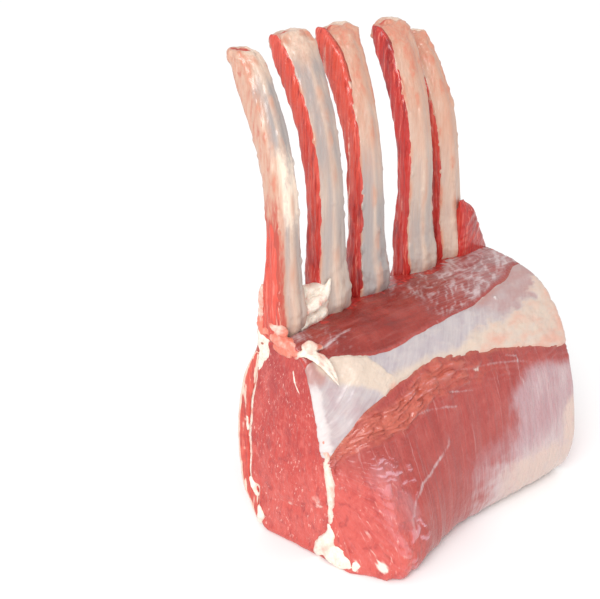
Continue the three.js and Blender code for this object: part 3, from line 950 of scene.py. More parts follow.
class RACK_OT_loin(bpy.types.Operator):
    """The eye of meat with its two cut faces, its wrinkled ridge and its fibres"""

    bl_idname = "rack.loin"
    bl_label = "Eye of meat"

    def execute(self, context):
        meat = context.scene.rack_meat
        angle = np.radians(np.concatenate([np.linspace(-65, 100, 205, endpoint=False),
            np.linspace(100, 295, 100, endpoint=False)]))[None, :]
        share = np.linspace(0.02, 1, 54, endpoint=False)[:, None]
        ways = np.concatenate([np.linspace(0, 32, 84, endpoint=False), np.linspace(32, SIDE, 112)])[:, None]
        far_share = np.linspace(1, 0.02, 34)[1:, None]
        # the side, over both rims
        smooth_skin = skin(ways, angle)
        covered = under_band(smooth_skin[..., 0], angle) * step(ways, -1, 1)
        height, masks = side_relief(smooth_skin, angle, meat)
        painted = side_paint(smooth_skin, angle)
        _, inset = over_rim(ways)
        level = 1 - np.clip(inset / RIM, 0, 1)
        lift = height * (1 - covered) - 0.45 * covered
        lift = lift * step(level, 0, 1) + (1 - step(level, 0, 1)) * 0.1
        side = skin(ways, angle, lift)
        # the cut faces
        near = place(0.0, angle, share * (eye_radius(0.0, angle) - RIM))
        far = place(LENGTH, angle, far_share * (eye_radius(LENGTH, angle) - RIM))
        near_edge = (1 - share) * eye_radius(0.0, angle)
        far_edge = (1 - far_share) * eye_radius(LENGTH, angle)
        near[..., 0] -= face_relief(near, near_edge) * step(near_edge, 0, 1.5) + 0.1
        far[..., 0] += face_relief(far, far_edge) * step(far_edge, 0, 1.5) + 0.1
        points = np.concatenate([near, side, far])
        cut = np.concatenate([np.ones(near.shape[:2]),
            np.broadcast_to(1 - step(level, 0.3, 0.8), side.shape[:2]),
            np.ones(far.shape[:2])])
        blank_near, blank_far = np.zeros(near.shape[:2]), np.zeros(far.shape[:2])
        cut = np.maximum(cut, np.concatenate([blank_near, masks.pop("fresh"), blank_far]))
        near_paint, far_paint = face_paint(near, 1), face_paint(far, 0)
        every = {}
        for name, values in {**masks, **painted}.items():
            values = np.broadcast_to(values, side.shape[:2])
            every[name] = np.concatenate([near_paint.get(name, blank_near), values,
                far_paint.get(name, blank_far)])
        made = piece("loin_eye", points, grid_faces(*points.shape[:2]),
            material_of(knife_cut_muscle, context),
            {**every, "cut": cut})
        finish_piece(made, "meat", "loin")
        return {"FINISHED"}


class RACK_OT_silverskin(bpy.types.Operator):
    """The band of silverskin and cream fat along the shoulder, widening to the near corner"""

    bl_idname = "rack.silverskin"
    bl_label = "Silverskin band"

    def execute(self, context):
        fat = context.scene.rack_fat
        ways = np.concatenate([np.linspace(-0.6, 26, 110, endpoint=False),
            np.linspace(26, SIDE + 0.5, 130)])[:, None]
        across = np.linspace(0, 1, 90)[None, :]
        s, _ = over_rim(ways)
        x = s * 1.02
        ragged = rough(np.stack([x, x * 0, x * 0], -1), 9, 4, 81)
        ragged_high = rough(np.stack([x, x * 0 + 50, x * 0], -1), 11, 4, 82)
        low = edge(BAND_LOW, x) - (0.6 + 1.6 * ragged * step(x, 2, 9)) / GIRTH_MM
        high = edge(BAND_HIGH, x) + (0.4 + 2.0 * ragged_high * step(x, 10, 22)) / GIRTH_MM
        angle = low + across * (high - low)
        inner = skin(ways, angle, -1.1)
        p = skin(ways, angle)
        mm = GIRTH_MM * (high - low)
        border = np.minimum(across, 1 - across) * mm
        flat = np.stack([p[..., 0], angle * GIRTH_MM, angle * 0], -1)
        thick = fat.thickness / MM
        tilt = 0.9
        turned = np.stack([flat[..., 0] * math.cos(tilt) + flat[..., 1] * math.sin(tilt),
            flat[..., 1] * math.cos(tilt) - flat[..., 0] * math.sin(tilt), flat[..., 2]], -1)
        x, up_band, down_band = p[..., 0], across * mm, (1 - across) * mm
        triangle = step(x, 20, 12)
        wobble = rough(flat, (7, 4, 9), 3, 83)
        floor_line = (along(x, [(0, 66), (4, 64), (6, 61.4), (9, 60.4), (15, 58.4), (20, 55), (24, 54)])
            + 1.2 * wobble)
        roof_line = along(x, [(0, 70), (9, 71), (16, 69.4), (20, 65), (25, 58.5)]) + 1.5 * wobble
        patch = step(p[..., 2] - floor_line, -1.5, 1.5) * step(roof_line - p[..., 2], -1.2, 1.2)
        patch = patch * step(x, 1.5, 3.5) * step(x, 27, 23)
        hem = along(x, [(16, 0), (21, 4), (26, 4.5), (32, 3), (40, 2), (48, 2.5), (56, 6), (66, 10),
            (78, 13), (90, 20), (100, 28)])
        hem = step(up_band - hem * (1 + 0.4 * wobble), 2.6, -2.2) * step(x, 17, 21)
        cream = np.clip(patch + 0.9 * hem + 0.35 * step(down_band, 2.2, 0.4) * step(wobble, -0.1, 0.3), 0, 1)
        # lilac tint at the far end and in spots; the share on the near triangle is painted shade
        lilac = np.clip(step(x, 52, 88) * (1 - cream) * 0.7 + spot(p, (70, 26, 74), (20, 8, 5)) * 0.5
            + spot(p, (1.5, 39, 65.5), (4.5, 7, 6)) * 0.85 + 0.28 * triangle * (1 - patch), 0, 1)
        pink = np.clip(spot(p, (22.5, 25, 57), (3, 3.5, 3)) * 0.7
            + hem * step(x, 50, 70) * (0.38 + 0.9 * wobble)
            + spot(p, (66, 17, 60), (10, 7, 2.8)) * 0.25 + spot(p, (91, 8, 56), (7, 6, 4)) * 0.4
            + 0.3 * step(up_band, 1.6, 0.2) * step(x, 10, 20)
            + 0.3 * step(x, 90, 99) * step(p[..., 2], 66, 56), 0, 1)
        white = np.clip(triangle * (1 - cream) * 0.12 * (0.6 + wobble)
            + step(x, 2.6 + 1.2 * wobble, 0.6) * step(p[..., 2], 67, 58) * 0.8, 0, 1)
        height = (thick * (0.25 + 0.75 * step(border, 0.6, 5)) * step(border, 0, 1.8)
            - 0.35 * step(border, 1.5, 0))
        height += 0.7 * cream * (0.5 + 1.1 * rough(flat, 4, 4, 84))
        height += 0.22 * triangle * (1 - cream) * noise(turned, (14, 1.7, 9), 85) * step(border, 0, 3)
        height += 0.6 * rough(flat, (10, 6, 9), 4, 86) * step(border, 0, 3)
        tear = spot(p, (77.4, 24.1, 70.7), (1.1, 1.8, 2.0), 0.5) * step(noise(p, 1.2, 87), -0.4, 0.2)
        height += 0.5 * tear
        outer = skin(ways, angle, height)
        points, faces = closed_sheet(outer, inner)
        pad = lambda m: np.concatenate([np.broadcast_to(m, p.shape[:2]),
            np.broadcast_to(m, p.shape[:2])[:, ::-1]], 1)
        masks = {"cream": cream, "lilac": lilac, "pink": pink, "white": np.clip(white + tear, 0, 1),
            "across": turned[..., 1], "lengthwise": turned[..., 0]}
        made = piece("silverskin_band", points, faces, material_of(pulled_silverskin, context),
            {name: pad(values) for name, values in masks.items()})
        finish_piece(made, "silverskin", "silverskin")
        return {"FINISHED"}


def chest_span():
    """Where the rib wall starts at the crest and stops at the heel, as two lines of angles."""
    starts, stops = [], []
    sweep = np.radians(np.arange(50, 265, 1.0))
    for s in STATIONS:
        gap = radius(WHOLE_GIRTH, s, sweep) - radius(EYE_GIRTH, s, sweep)
        wide = sweep[gap > 1.2]
        starts.append(wide.min())
        stops.append(wide.max())
    soften = lambda v: np.convolve(np.pad(v, 2, mode="edge"), np.ones(5) / 5, mode="valid")
    return soften(np.array(starts)), soften(np.array(stops))


def past_crest(angle):
    """0 where the eye's crest hides the rib wall and its seam, 1 where they show."""
    return step(angle, math.radians(114), math.radians(128))


def layer_round(inner, outer, across, margin, faces_relief, side_height):
    """A layer round the chest side, between an inner and an outer radius. Rows go round, columns
    follow its section: near face, side, far face and back along the inside.
    """
    starts, stops = chest_span()
    near = [(0.0, f) for f in np.linspace(0, 1, 9)[:-1]]
    side = [(s, 1.0) for s in np.linspace(0.0, LENGTH, 170)]
    far = [(LENGTH, f) for f in np.linspace(1, 0, 9)[1:]]
    back = [(s, 0.0) for s in np.linspace(LENGTH, 0, 24)[1:-1]]
    loop = np.array(near + side + far + back)
    s, share = loop[None, :, 0], loop[None, :, 1]
    start, stop = along(s, STATIONS, starts) - margin, along(s, STATIONS, stops) + margin
    start = np.maximum(start, math.radians(115) * step(s, 7, 4))
    angle = start + across * (stop - start)
    taper = np.sqrt(np.clip(1 - np.abs(2 * across - 1) ** 14, 0, 1))
    r_in = inner(s, angle)
    thick = np.maximum(outer(s, angle) - r_in, 0.25) * taper
    rounded = share - 0.18 * step(np.minimum(s, LENGTH - s), 1.2, 0) * (share > 0.99)
    r = r_in + thick * rounded
    p = place(s, angle, r)
    r = r + side_height(p, angle) * (share > 0.99) * taper
    p = place(s, angle, r)
    on_face = ((s < 0.01) | (s > LENGTH - 0.01)) * (share > 0.01)
    out = np.where(s < 1, -1, 1)
    p[..., 0] += out * faces_relief(p) * on_face * taper
    return p, angle, share, s


class RACK_OT_fat_seam(bpy.types.Operator):
    """The thin fat seam between the eye and the rib wall"""

    bl_idname = "rack.fat_seam"
    bl_label = "Fat seam"

    def execute(self, context):
        across = np.linspace(0, 1, 150)[:, None]
        wavy = lambda s, angle: 0.3 * rough(np.stack([s + 0 * angle, WALL_GIRTH_MM * angle + 0 * s,
            0 * s + 0 * angle], -1), 7, 2, 91)
        inner = lambda s, angle: eye_radius(s, angle) - 1.6
        outer = lambda s, angle: (eye_radius(s, angle) - 0.9
            + past_crest(angle) * (1.1 + SEAM * 0.25 + wavy(s, angle)))
        p, *_ = layer_round(inner, outer, across, 0.02, lambda p: 0.2 * rough(p, 3, 2, 92) - 0.3,
            lambda p, angle: 0 * angle)
        made = piece("fat_seam_layer", p, grid_faces(*p.shape[:2], caps=False),
            material_of(torn_hard_fat, context),
            {"pink": np.clip(0.4 + 0.7 * rough(p, 5, 3, 93), 0, 1)})
        finish_piece(made, "fat", "fat_seam")
        return {"FINISHED"}


class RACK_OT_rib_wall(bpy.types.Operator):
    """The thin wall of meat round the ribs, on the chest side"""

    bl_idname = "rack.rib_wall"
    bl_label = "Rib wall"

    def execute(self, context):
        across = np.linspace(0, 1, 210)[:, None]
        inner = lambda s, angle: (np.minimum(eye_radius(s, angle), radius(WHOLE_GIRTH, s, angle) - 1.5)
            - 0.6 + past_crest(angle) * (0.6 + SEAM * 0.3))
        outer = lambda s, angle: radius(WHOLE_GIRTH, s, angle)

        def relief(p, angle):
            flat = np.stack([p[..., 0], angle * WALL_GIRTH_MM, 0 * angle], -1)
            bumps = 0.5 * rough(flat, (7, 9, 9), 4, 101) + 0.25 * noise(flat, (1.2, 9, 9), 104)
            between_ribs = np.ones(p.shape[:-1])
            for n in RIB_TOPS:
                mid = rib_at(n, np.clip(p[..., 2], 11, 78))
                between_ribs *= 1 - np.exp(-(((p[..., 0] - mid[..., 0]) / (mid[..., 2] + 1.5)) ** 4))
            return bumps + 0.9 * between_ribs * step(p[..., 1], 52, 60)

        p, angle, share, s = layer_round(inner, outer, across, 0.0,
            lambda p: 0.1 + 0.45 * rough(p, (9, 3, 6), 3, 105), relief)
        face = ((s < 0.3) | (s > LENGTH - 0.3)) * np.ones_like(angle)
        flat = np.stack([p[..., 0], angle * WALL_GIRTH_MM, 0 * angle], -1)
        wisps = rough(flat, (9, 4, 9), 4, 107)
        top = step(p[..., 2], 66, 73)
        streaks = noise(p, (9, 1.4, 9), 109)
        fat = (face * (step(share, 0.7, 0.98) * 0.9 + 0.9 * step(streaks + 0.3 * wisps, -0.05, 0.4))
            * (1 - top))
        fat += (1 - face) * (1 - top) * 0.55 * step(wisps, 0.0, 0.6)
        fat += (1 - face) * step(angle, 3.6, 4.1) * 0.8
        pale = (face * (0.6 + 0.8 * wisps) + (1 - face) * top * (0.5 * wisps - 0.1)
            + (1 - face) * (1 - top) * 0.45)
        made = piece("rib_wall_meat", p, grid_faces(*p.shape[:2], caps=False),
            material_of(scraped_rib_flesh, context),
            {"fat": np.clip(fat, 0, 1), "pale": np.clip(pale, 0, 1)})
        finish_piece(made, "rib_meat", "rib_wall")
        return {"FINISHED"}


class RACK_OT_fat(bpy.types.Operator):
    """The chine fat at the foot of the near cut and the white fat down its outer edge"""

    bl_idname = "rack.fat"
    bl_label = "Chine fat and edge fat"

    def execute(self, context):
        fat = material_of(torn_hard_fat, context)
        lumps("chine_fat_lumps", [
            [(0.8, 31.4, 14.5, 1.5), (0.9, 30.9, 11.5, 2.1), (1.0, 32.4, 8, 3.2), (1.2, 35.0, 4.8, 3.2),
            (1.4, 36.4, 2.4, 2.2)],
            [(1.0, 31, 4.4, 3.4), (1.4, 27, 3.0, 3.2), (2.4, 22.6, 2.8, 2.6), (4.2, 19.2, 3.0, 1.7)],
            [(1.6, 28, 6.6, 2.6), (2.0, 24.6, 5.6, 2.0)],
            [(5, 29, 4.2, 4.0), (30, 27.5, 4.4, 4.2), (60, 24.5, 4.4, 4.2), (97, 20.8, 4.4, 4.0)],
        ], fat, "fat", ("chine_fat",), relief=0.7, seed=121, masks={
            "pink": lambda p: 0.35 * step(rough(p, 4, 2, 122), 0.1, 0.6)
            + 0.6 * step(p[:, 0], 6, 12) * step(p[:, 0], 90, 80),
            "brown": lambda p: 0.75 * spot(p, (0.4, 30.5, 6.4), (2.5, 1.1, 1.6))
            * step(noise(p, 1.6, 123), 0.0, 0.3),
        })
        rim = [(36.9, 50), (36.1, 47), (34.6, 43), (33.6, 38.5), (33.3, 35), (32.4, 30.4), (31.9, 25.8),
            (31.2, 21), (31, 16)]
        wide = [0.4, 0.6, 0.9, 1.1, 1.3, 1.6, 1.5, 1.3, 1.4]
        lumps("edge_fat", [[(0.7, y, z, r) for (y, z), r in zip(rim, wide)]], fat, "fat", grain=0.4,
            relief=0.75, seed=131,
            masks={"pink": lambda p: 0.32 + 0.35 * step(noise(p, 3, 132), 0.1, 0.5)
            + 0.5 * step(p[:, 0], 0.9, 2.2) + 0.5 * step(p[:, 2], 37, 46)})
        lumps("heel_fat", [
            [(0.4, 66.2, 18, 0.9), (0.5, 64.9, 15.6, 1.5), (0.6, 63.6, 13.2, 1.2)],
            [(0.5, 62.6, 8.4, 0.9), (0.6, 61.8, 5.4, 1.8), (0.8, 62.6, 3.0, 1.4)],
            [(0.4, 67.2, 34, 0.6), (0.4, 67.4, 41, 0.7)],
        ], fat, "fat", grain=0.35, relief=0.45, seed=141)
        return {"FINISHED"}


# the flat across a rib's near outer corner, in half widths and half depths
CHAMFER = ((-1, -0.42), (-0.1, -1))
ROOTS = {1: 18, 2: 17, 3: 26, 4: 30, 5: 27}  # where each rib sinks into the wall of meat
TIP_ROUND = 3.4  # height over which a rib's end rounds off, in mm
# Each rib's end: how it slopes along X and along Y, how red its cut is, and how far it stands up.
TIPS = {1: (0.05, 0.1, 0.8, 0.6), 2: (0.1, -0.1, 0.35, -0.4), 3: (0.3, -0.1, 0.3, -1.2),
    4: (0.25, 0.1, 0.3, -1.4), 5: (0.3, 0.1, 0.2, -1.2)}
# Each rib's outer flats: how grey, then how blushed, low down and high up.
TONES = {1: (0.9, 1.3, 0.25, 0.1), 2: (0.75, 1.2, 0.05, 0.25), 3: (1.5, 0.3, 0.0, 0.75),
    4: (0.8, 0.2, 0.05, 0.75), 5: (0.5, 0.35, 0.35, 0.8)}


def flared(z):
    """How much wider a rib is towards its foot, at heights z."""
    return 1 + 0.2 * step(z, 98, 82) * step(z, 64, 74)


class RACK_OT_ribs(bpy.types.Operator):
    """The five scraped rib bones, from their roots in the rib wall to their cut ends"""

    bl_idname = "rack.ribs"
    bl_label = "Rib bones"

    def execute(self, context):
        scrape = context.scene.rack_bone.relief / MM
        for n in RIB_TOPS:
            top = RIB_TOPS[n]
            rise = np.concatenate([np.linspace(ROOTS[n], 70, 56, endpoint=False),
                np.linspace(70, top - TIP_ROUND, 180)])
            turn = np.linspace(0, 1, 12)[1:] * math.pi / 2
            z = np.concatenate([rise, top - TIP_ROUND + TIP_ROUND * np.sin(turn), np.full(8, top)])
            shrink = np.concatenate([np.ones(len(rise)), 1 - 0.42 * (1 - np.cos(turn)),
                np.linspace(0.5, 0.03, 8)])
            phi = (np.arange(96) * (2 * math.pi / 96))[None, :]
            mid = rib_at(n, z)
            mid[:, 2] *= flared(z) * (0.5 + 0.5 * step(z, ROOTS[n], ROOTS[n] + 16))
            c, q = np.cos(phi), np.sin(phi)
            u, v = -np.sign(q) * np.abs(q) ** 0.5, -np.sign(c) * np.abs(c) ** 0.5
            zz = z[:, None] + 0 * phi
            wide, deep = mid[:, 2:3] * shrink[:, None], mid[:, 3:4] * shrink[:, None]
            # the flat across the corner, with its edges worn round
            (u0, v0), (u1, v1) = CHAMFER
            across, steep = (u1 - u0) * mid[:, 2:3], (v1 - v0) * mid[:, 3:4]
            nx, ny = steep / np.hypot(across, steep), -across / np.hypot(across, steep)
            past = ((u - u0 * shrink[:, None]) * wide * nx + (v - v0) * deep * ny)
            cut = 0.22 * np.logaddexp(0, past / 0.22)
            p = np.stack([mid[:, 0:1] + u * wide - nx * cut, mid[:, 1:2] + v * deep - ny * cut, zz], -1)
            flat_side = step(past, -0.8, 0.3)
            body = step(shrink[:, None], 0.1, 0.55)
            grooves = noise(p, (1.4, 1.4, 16), 200 + n) + 0.6 * noise(p, (0.8, 0.8, 9), 210 + n)
            swell = rough(p, (5, 5, 13), 3, 220 + n)
            nicks = np.clip(noise(p, (1.8, 1.8, 2.6), 230 + n) - 0.2, 0, 1)
            corner = step(np.abs(u * v), 0.45, 0.85) * (1 - flat_side) + np.exp(-((past / 0.9) ** 2))
            corner = np.clip(corner, 0, 1)
            foot = step(zz, 100, 84) * step(zz, 70, 76)
            height = scrape * (0.5 * grooves + 1.1 * swell) + 1.3 * corner * nicks
            height += foot * 0.9 * rough(p, 5, 3, 240 + n)
            # the hollow down the outer face
            height -= 0.4 * np.exp(-(((u - 0.45) / 0.3) ** 2)) * step(-v, 0.6, 0.9)
            end = step(zz, top - 9, top - 2)
            height += end * 1.2 * rough(p, 3.2, 4, 250 + n)
            p[..., 0] += u * height * body
            p[..., 1] += v * height * body
            slope_x, slope_y, marrow, stand = TIPS[n]
            lean = (p[..., 0] - mid[:, 0:1]) * slope_x + (p[..., 1] - mid[:, 1:2]) * slope_y
            p[..., 2] += end * (lean + 1.0 * rough(p, 4, 3, 270 + n) + stand) * body
            cap = step(shrink[:, None], 0.56, 0.4) * (zz > top - 0.01)
            p[..., 2] += cap * (-0.5 + 0.5 * rough(p, 1.6, 3, 280 + n))
            p[..., 2] = np.minimum(p[..., 2], top + 1.5)
            near_side = step(-u, 0.6, 0.98) * (1 - flat_side * (0.3 if n == 1 else 1))
            outer_face = np.clip(step(-v, 0.5, 0.95) + flat_side, 0, 1)
            # the grey of the marrow shows on both outer flats, and least at the corner between them, where a
            # highlight is painted
            grey_low, grey_high, blush_low, blush_high = TONES[n]
            up = step(zz, 90, top - 10)
            # painted highlight along the corner between the flats
            worn = np.exp(-(((u + 0.3) / 0.16) ** 2)) * outer_face
            grey = outer_face * (0.7 + 0.6 * noise(p, (3, 3, 24), 290 + n)) * (1 - 0.6 * worn)
            grey *= (grey_low + (grey_high - grey_low) * up) * step(zz, top - 3, top - 12)
            warm = step(noise(p, (3, 3, 9), 300 + n), -0.1, 0.5)
            blush = (0.7 * corner * warm + 0.4 * end * (0.4 + warm)
                + near_side * (0.65 + 0.3 * step(zz, 130, 104) if n == 1 else 0.85))
            blush += (outer_face * (blush_low + (blush_high - blush_low) * up)
                * (1 + 0.5 * noise(p, (4, 4, 20), 305 + n)))
            mid_up = step(zz, 100, 119) * step(zz, 141, 124)
            cream = ((near_side * 0.3 + outer_face * mid_up * (0.75 + 0.5 * noise(p, (3, 3, 12), 311)))
                * (n == 1) + 0.4 * end
                + 0.4 * corner * step(noise(p, (3, 3, 12), 310 + n), 0.0, 0.5))
            red = cap * marrow + near_side * (0.42 + 0.6 * step(zz, 124, 94) if n == 1 else 0.4)
            red += end * step(noise(p, 3, 320 + n), 0.2, 0.5) * marrow * 0.8
            red += outer_face * step(zz, 104, 90) * step(u, -0.4, 0.6) * (n == RIB_COUNT)
            inner_face = step(v, 0.6, 0.95)
            blush += inner_face * (0.3 + 0.5 * noise(p, (4, 4, 18), 307 + n))
            grey += 0.3 * inner_face * step(noise(p, (3, 3, 30), 308 + n), 0, 0.4)
            lists = {"grey": grey, "blush": blush, "cream": cream, "red": red}
            made = piece(f"rib_bone_{n}", p, grid_faces(*p.shape[:2]), material_of(scraped_rib_bone, context),
                {k: np.clip(np.broadcast_to(m, p.shape[:2]), 0, 1) for k, m in lists.items()})
            finish_piece(made, "bone", f"rib_{n}")
        return {"FINISHED"}


# Each strip of flesh: where it ends below the rib's top, its thickness, how far it flares there, and
# how pale it is low down and high up.
FLESH = {1: (48, 1.2, 0.0, 0.9, 1.0), 2: (1.0, 1.3, 0.05, 0.3, 0.8), 3: (0.8, 1.7, 0.32, 0.1, 1.0),
    4: (2.0, 1.4, 0.05, 0.0, -0.2), 5: (5, 1.3, 0.0, 0.2, 0.5)}
FLESH_IN, FLESH_HALF = 0.28, 0.68  # middle and half width of the strips, in half depths of the rib


class RACK_OT_rib_flesh(bpy.types.Operator):
    """The strips of flesh left on the near side of each rib"""

    bl_idname = "rack.rib_flesh"
    bl_label = "Rib flesh"

    def execute(self, context):
        for n, (below, thick, flare, low_pale, high_pale) in FLESH.items():
            top = RIB_TOPS[n] - below
            z = np.linspace(68, top, 200)[:, None]
            psi = (np.arange(44) * (2 * math.pi / 44))[None, :]
            mid = rib_at(n, z[:, 0])
            mid[:, 2] *= flared(z[:, 0])
            ends = step(z, 68, 74) * np.sqrt(np.clip((top - z) / (24 if n == 1 else 7), 0, 1))
            flat = np.stack([z * 0 + n * 40, z * 0, z], -1)
            half = FLESH_HALF * mid[:, 3:4] * (1 + 0.25 * rough(flat, 9, 4, 401)) * (0.35 + 0.65 * ends)
            half = half * (1 + flare * step(z, top - 34, top - 8) * step(z, top + 2, top - 8))
            middle = mid[:, 1:2] + mid[:, 3:4] * (FLESH_IN + 0.08 * rough(flat, 13, 3, 402))
            t = thick * (0.25 + 0.75 * ends) * (1 + 0.35 * rough(flat, 9, 3, 403))
            side = np.where(np.cos(psi) > 0, np.abs(np.cos(psi)) ** 0.6, -0.6)
            p = np.stack([mid[:, 0:1] - mid[:, 2:3] + 0.6 - t * side, middle + half * np.sin(psi),
                z + 0 * psi], -1)
            fibres = noise(p, (9, 1.2, 17), 410 + n) + 0.7 * noise(p, (9, 0.7, 11), 420 + n)
            lumpy = rough(p, (9, 2.6, 6), 3, 430 + n)
            p[..., 0] -= (0.4 * fibres + 0.6 * lumpy) * (np.cos(psi) > 0) * ends
            p[..., 1] += 0.45 * np.sin(psi) ** 3 * rough(p, (9, 9, 5), 2, 435 + n) * ends
            pale = low_pale + (high_pale - low_pale) * step(z, 84, top - 12)
            pale = pale * (1 + 0.8 * rough(p, (3, 3, 9), 2, 440 + n))
            streak = step(noise(p, (9, 1.1, 22), 450 + n), 0.3, 0.6) * 0.55
            edges = step(np.abs(np.sin(psi)), 0.9, 1.0) * step(noise(p, (9, 3, 7), 460 + n), 0.0, 0.4) * 0.7
            masks = {"pale": np.clip(pale, 0, 1), "fat": np.clip(streak + edges, 0, 1)}
            made = piece(f"rib_flesh_{n}", p, grid_faces(*p.shape[:2]),
                material_of(scraped_rib_flesh, context), masks)
            finish_piece(made, "rib_meat", f"rib_meat_{n}")
        return {"FINISHED"}


class RACK_OT_end_flap(bpy.types.Operator):
    """The flap of rib meat standing behind the last rib"""

    bl_idname = "rack.end_flap"
    bl_label = "End flap"

    def execute(self, context):
        low, high = (np.array(c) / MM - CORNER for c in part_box("end_flap"))
        z = np.linspace(70, high[2], 90)[:, None]
        psi = (np.arange(64) * (2 * math.pi / 64))[None, :]
        width = along(z, [(64, 17.0), (75, 16.4), (79, 14.6), (85.5, 10.6), (94, 5.4), (97, 1.4)])
        flat = np.stack([z * 0, z * 0, z], -1)
        width = width * (1 + 0.10 * rough(flat, 5, 3, 501))
        thick = 2.2 * step(z, high[2] + 1, high[2] - 6) + 0.15
        x = low[0] - 1 + (width + 1) * (0.5 - 0.5 * np.cos(psi))
        y = (low[1] + high[1]) / 2 + thick * np.sign(np.sin(psi)) * np.abs(np.sin(psi)) ** 0.5
        p = np.stack([x, y, z + 0 * psi], -1)
        slanted = np.stack([p[..., 0] * 0.8 + p[..., 2] * 0.6, p[..., 1],
            p[..., 2] * 0.8 - p[..., 0] * 0.6], -1)
        p[..., 1] += np.sign(np.sin(psi)) * (0.35 * noise(slanted, (9, 9, 1.5), 502)
            + 0.3 * rough(p, 4, 2, 503))
        pale = np.clip(0.2 + 0.8 * rough(p, 4, 3, 504) + 0 * psi, 0, 1)
        fat = 0.25 * step(noise(slanted, (9, 9, 1.6), 505), 0.3, 0.6)
        made = piece("end_flap_meat", p, grid_faces(*p.shape[:2]), material_of(scraped_rib_flesh, context),
            {"pale": pale, "fat": fat})
        finish_piece(made, "rib_meat", "end_flap")
        return {"FINISHED"}


class RACK_OT_trimmings(bpy.types.Operator):
    """Scraps of fat and membrane left at the rib feet and the near corner"""

    bl_idname = "rack.trimmings"
    bl_label = "Trimmings"

    def execute(self, context):
        fat = material_of(torn_hard_fat, context)
        lumps("corner_fat", [
            [(2.0, 60.8, 73.0, 2.5), (2.2, 59.8, 70.4, 3.3), (2.0, 59.3, 67.2, 3.0), (1.2, 60.6, 64, 1.8),
            (0.6, 62.2, 60.4, 0.9)],
        ], fat, "fat", grain=0.4, relief=0.7, seed=151, masks={
            "pink": lambda p: 0.8 * step(p[:, 1], 58, 55.4) + 0.6 * step(p[:, 1], 61.5, 63.5)
            + 0.3 * step(noise(p, 2.4, 152), 0.1, 0.5),
            "brown": lambda p: spot(p, (-0.9, 59.4, 70.4), (2, 0.8, 0.7))})
        lumps("foot_scraps", [
            [(1.0, 55.0, 73.2, 2.1), (1.2, 52.6, 72.6, 2.4), (1.2, 50.2, 72.1, 2.3), (1.0, 47.9, 71.4, 2.0),
            (0.6, 46.2, 70.6, 1.5)],
            [(0.6, 54.2, 70.4, 1.5), (0.5, 51.5, 69.8, 1.5), (0.5, 48.8, 69.2, 1.3)],
            [(1.0, 60.6, 79, 1.7), (1.2, 61.0, 76.4, 2.1), (1.4, 60.2, 74.2, 2.0), (1.0, 57.8, 74.6, 1.8)],
            [(0.6, 55.8, 77.6, 1.6), (0.6, 53.6, 76.6, 1.9), (0.6, 51.2, 76.0, 1.6)],
        ], fat, "fat", grain=0.35, relief=1.0, seed=161, masks={
            "pink": lambda p: 0.9 + 0.5 * rough(p, 2.6, 2, 162)
            - 0.45 * spot(p, (0, 53.4, 77), (4, 3.6, 2.6)),
            "brown": lambda p: 0.3 * step(noise(p, 1.4, 163), 0.3, 0.6)})
        lumps("corner_curl", [
            [(1.1, 46.6, 68.6, 1.0), (0.7, 45.2, 70.4, 1.1), (0.6, 43.6, 71.2, 1.1), (0.9, 41.6, 71.2, 0.9),
            (1.5, 39.4, 70.2, 0.75),
                (2.1, 37.2, 68.7, 0.65), (2.7, 35.0, 66.8, 0.55), (3.2, 33.0, 64.9, 0.4),
                (3.7, 31.4, 63.2, 0.25)],
            [(1.8, 43.6, 73.2, 1.3), (2.2, 42.4, 74.0, 1.5), (3.6, 41.4, 73.2, 1.3), (6, 41, 72.4, 0.9)],
            [(1.4, 43.0, 72.2, 1.2), (2.4, 42.0, 72.4, 1.3)],
            [(1.6, 42.4, 71.0, 1.0), (2.8, 39.4, 70.2, 1.1), (3.5, 37.2, 68.6, 1.0), (3.8, 35.0, 66.4, 0.6)],
            [(2.6, 41.8, 71.2, 1.0), (4.2, 39.2, 70.2, 1.1), (5.0, 36.8, 68.3, 1.0), (4.8, 34.6, 66.0, 0.7),
            (4.2, 32.2, 63.6, 0.35)],
        ], fat, "fat", grain=0.3, relief=0.35, seed=171, masks={
            "pink": lambda p: 0.3 * step(noise(p, 3, 172), -0.1, 0.4) + 0.6 * step(p[:, 1], 44.4, 46.4)
                + 0.5 * step(p[:, 2], 72.0, 73.2) * step(p[:, 0], 2.0, 4.5) + 0.15})
        lumps("foot_membrane", [
            [(8.5, 54, 78.5, 2.8), (12, 54.5, 80, 3.2), (16, 54.5, 80.5, 3.2), (20.5, 53.5, 80, 3.0)],
            [(9.5, 54.6, 83.6, 2.0), (12.5, 55, 84.8, 2.3), (16, 54.6, 84.6, 2.2), (20, 53.4, 84.6, 1.9)],
            [(8.5, 53, 75.5, 2.6), (13, 53, 76, 2.8), (19.5, 52.4, 76.5, 2.6)],
            [(11, 51.6, 80.4, 2.0), (15, 51, 81.4, 2.1), (18.6, 50.8, 82.6, 1.8), (20.6, 50.8, 85, 1.2),
                (21.8, 50.8, 87.6, 0.6)],
        ], fat, "fat", grain=0.4, relief=0.6, seed=181, masks={
            "pink": lambda p: 0.1 + 0.4 * step(noise(p, 4, 182), 0.0, 0.5),
            "brown": lambda p: 0.6 * step(p[:, 1], 54, 57) * step(noise(p, 3, 183), -0.2, 0.3)})
        lumps("rib_edge_scraps", [
            [(0.0, 59.8, 90, 0.6), (-0.2, 60.0, 87.5, 1.0), (0.1, 60.2, 84, 1.1), (0.4, 60.4, 80.5, 1.5)],
        ], fat, "fat", grain=0.4, relief=0.6, seed=191, masks={"pink": lambda p: 0.6 + 0 * p[:, 0]})
        return {"FINISHED"}


FLOOR_HALF, FLOOR_LEVEL = 3000.0, -0.05  # half the floor's side and its height, in rack mm
KEY_WAY = Vector((0.78, 0.3, -0.5))  # the way the key light shines
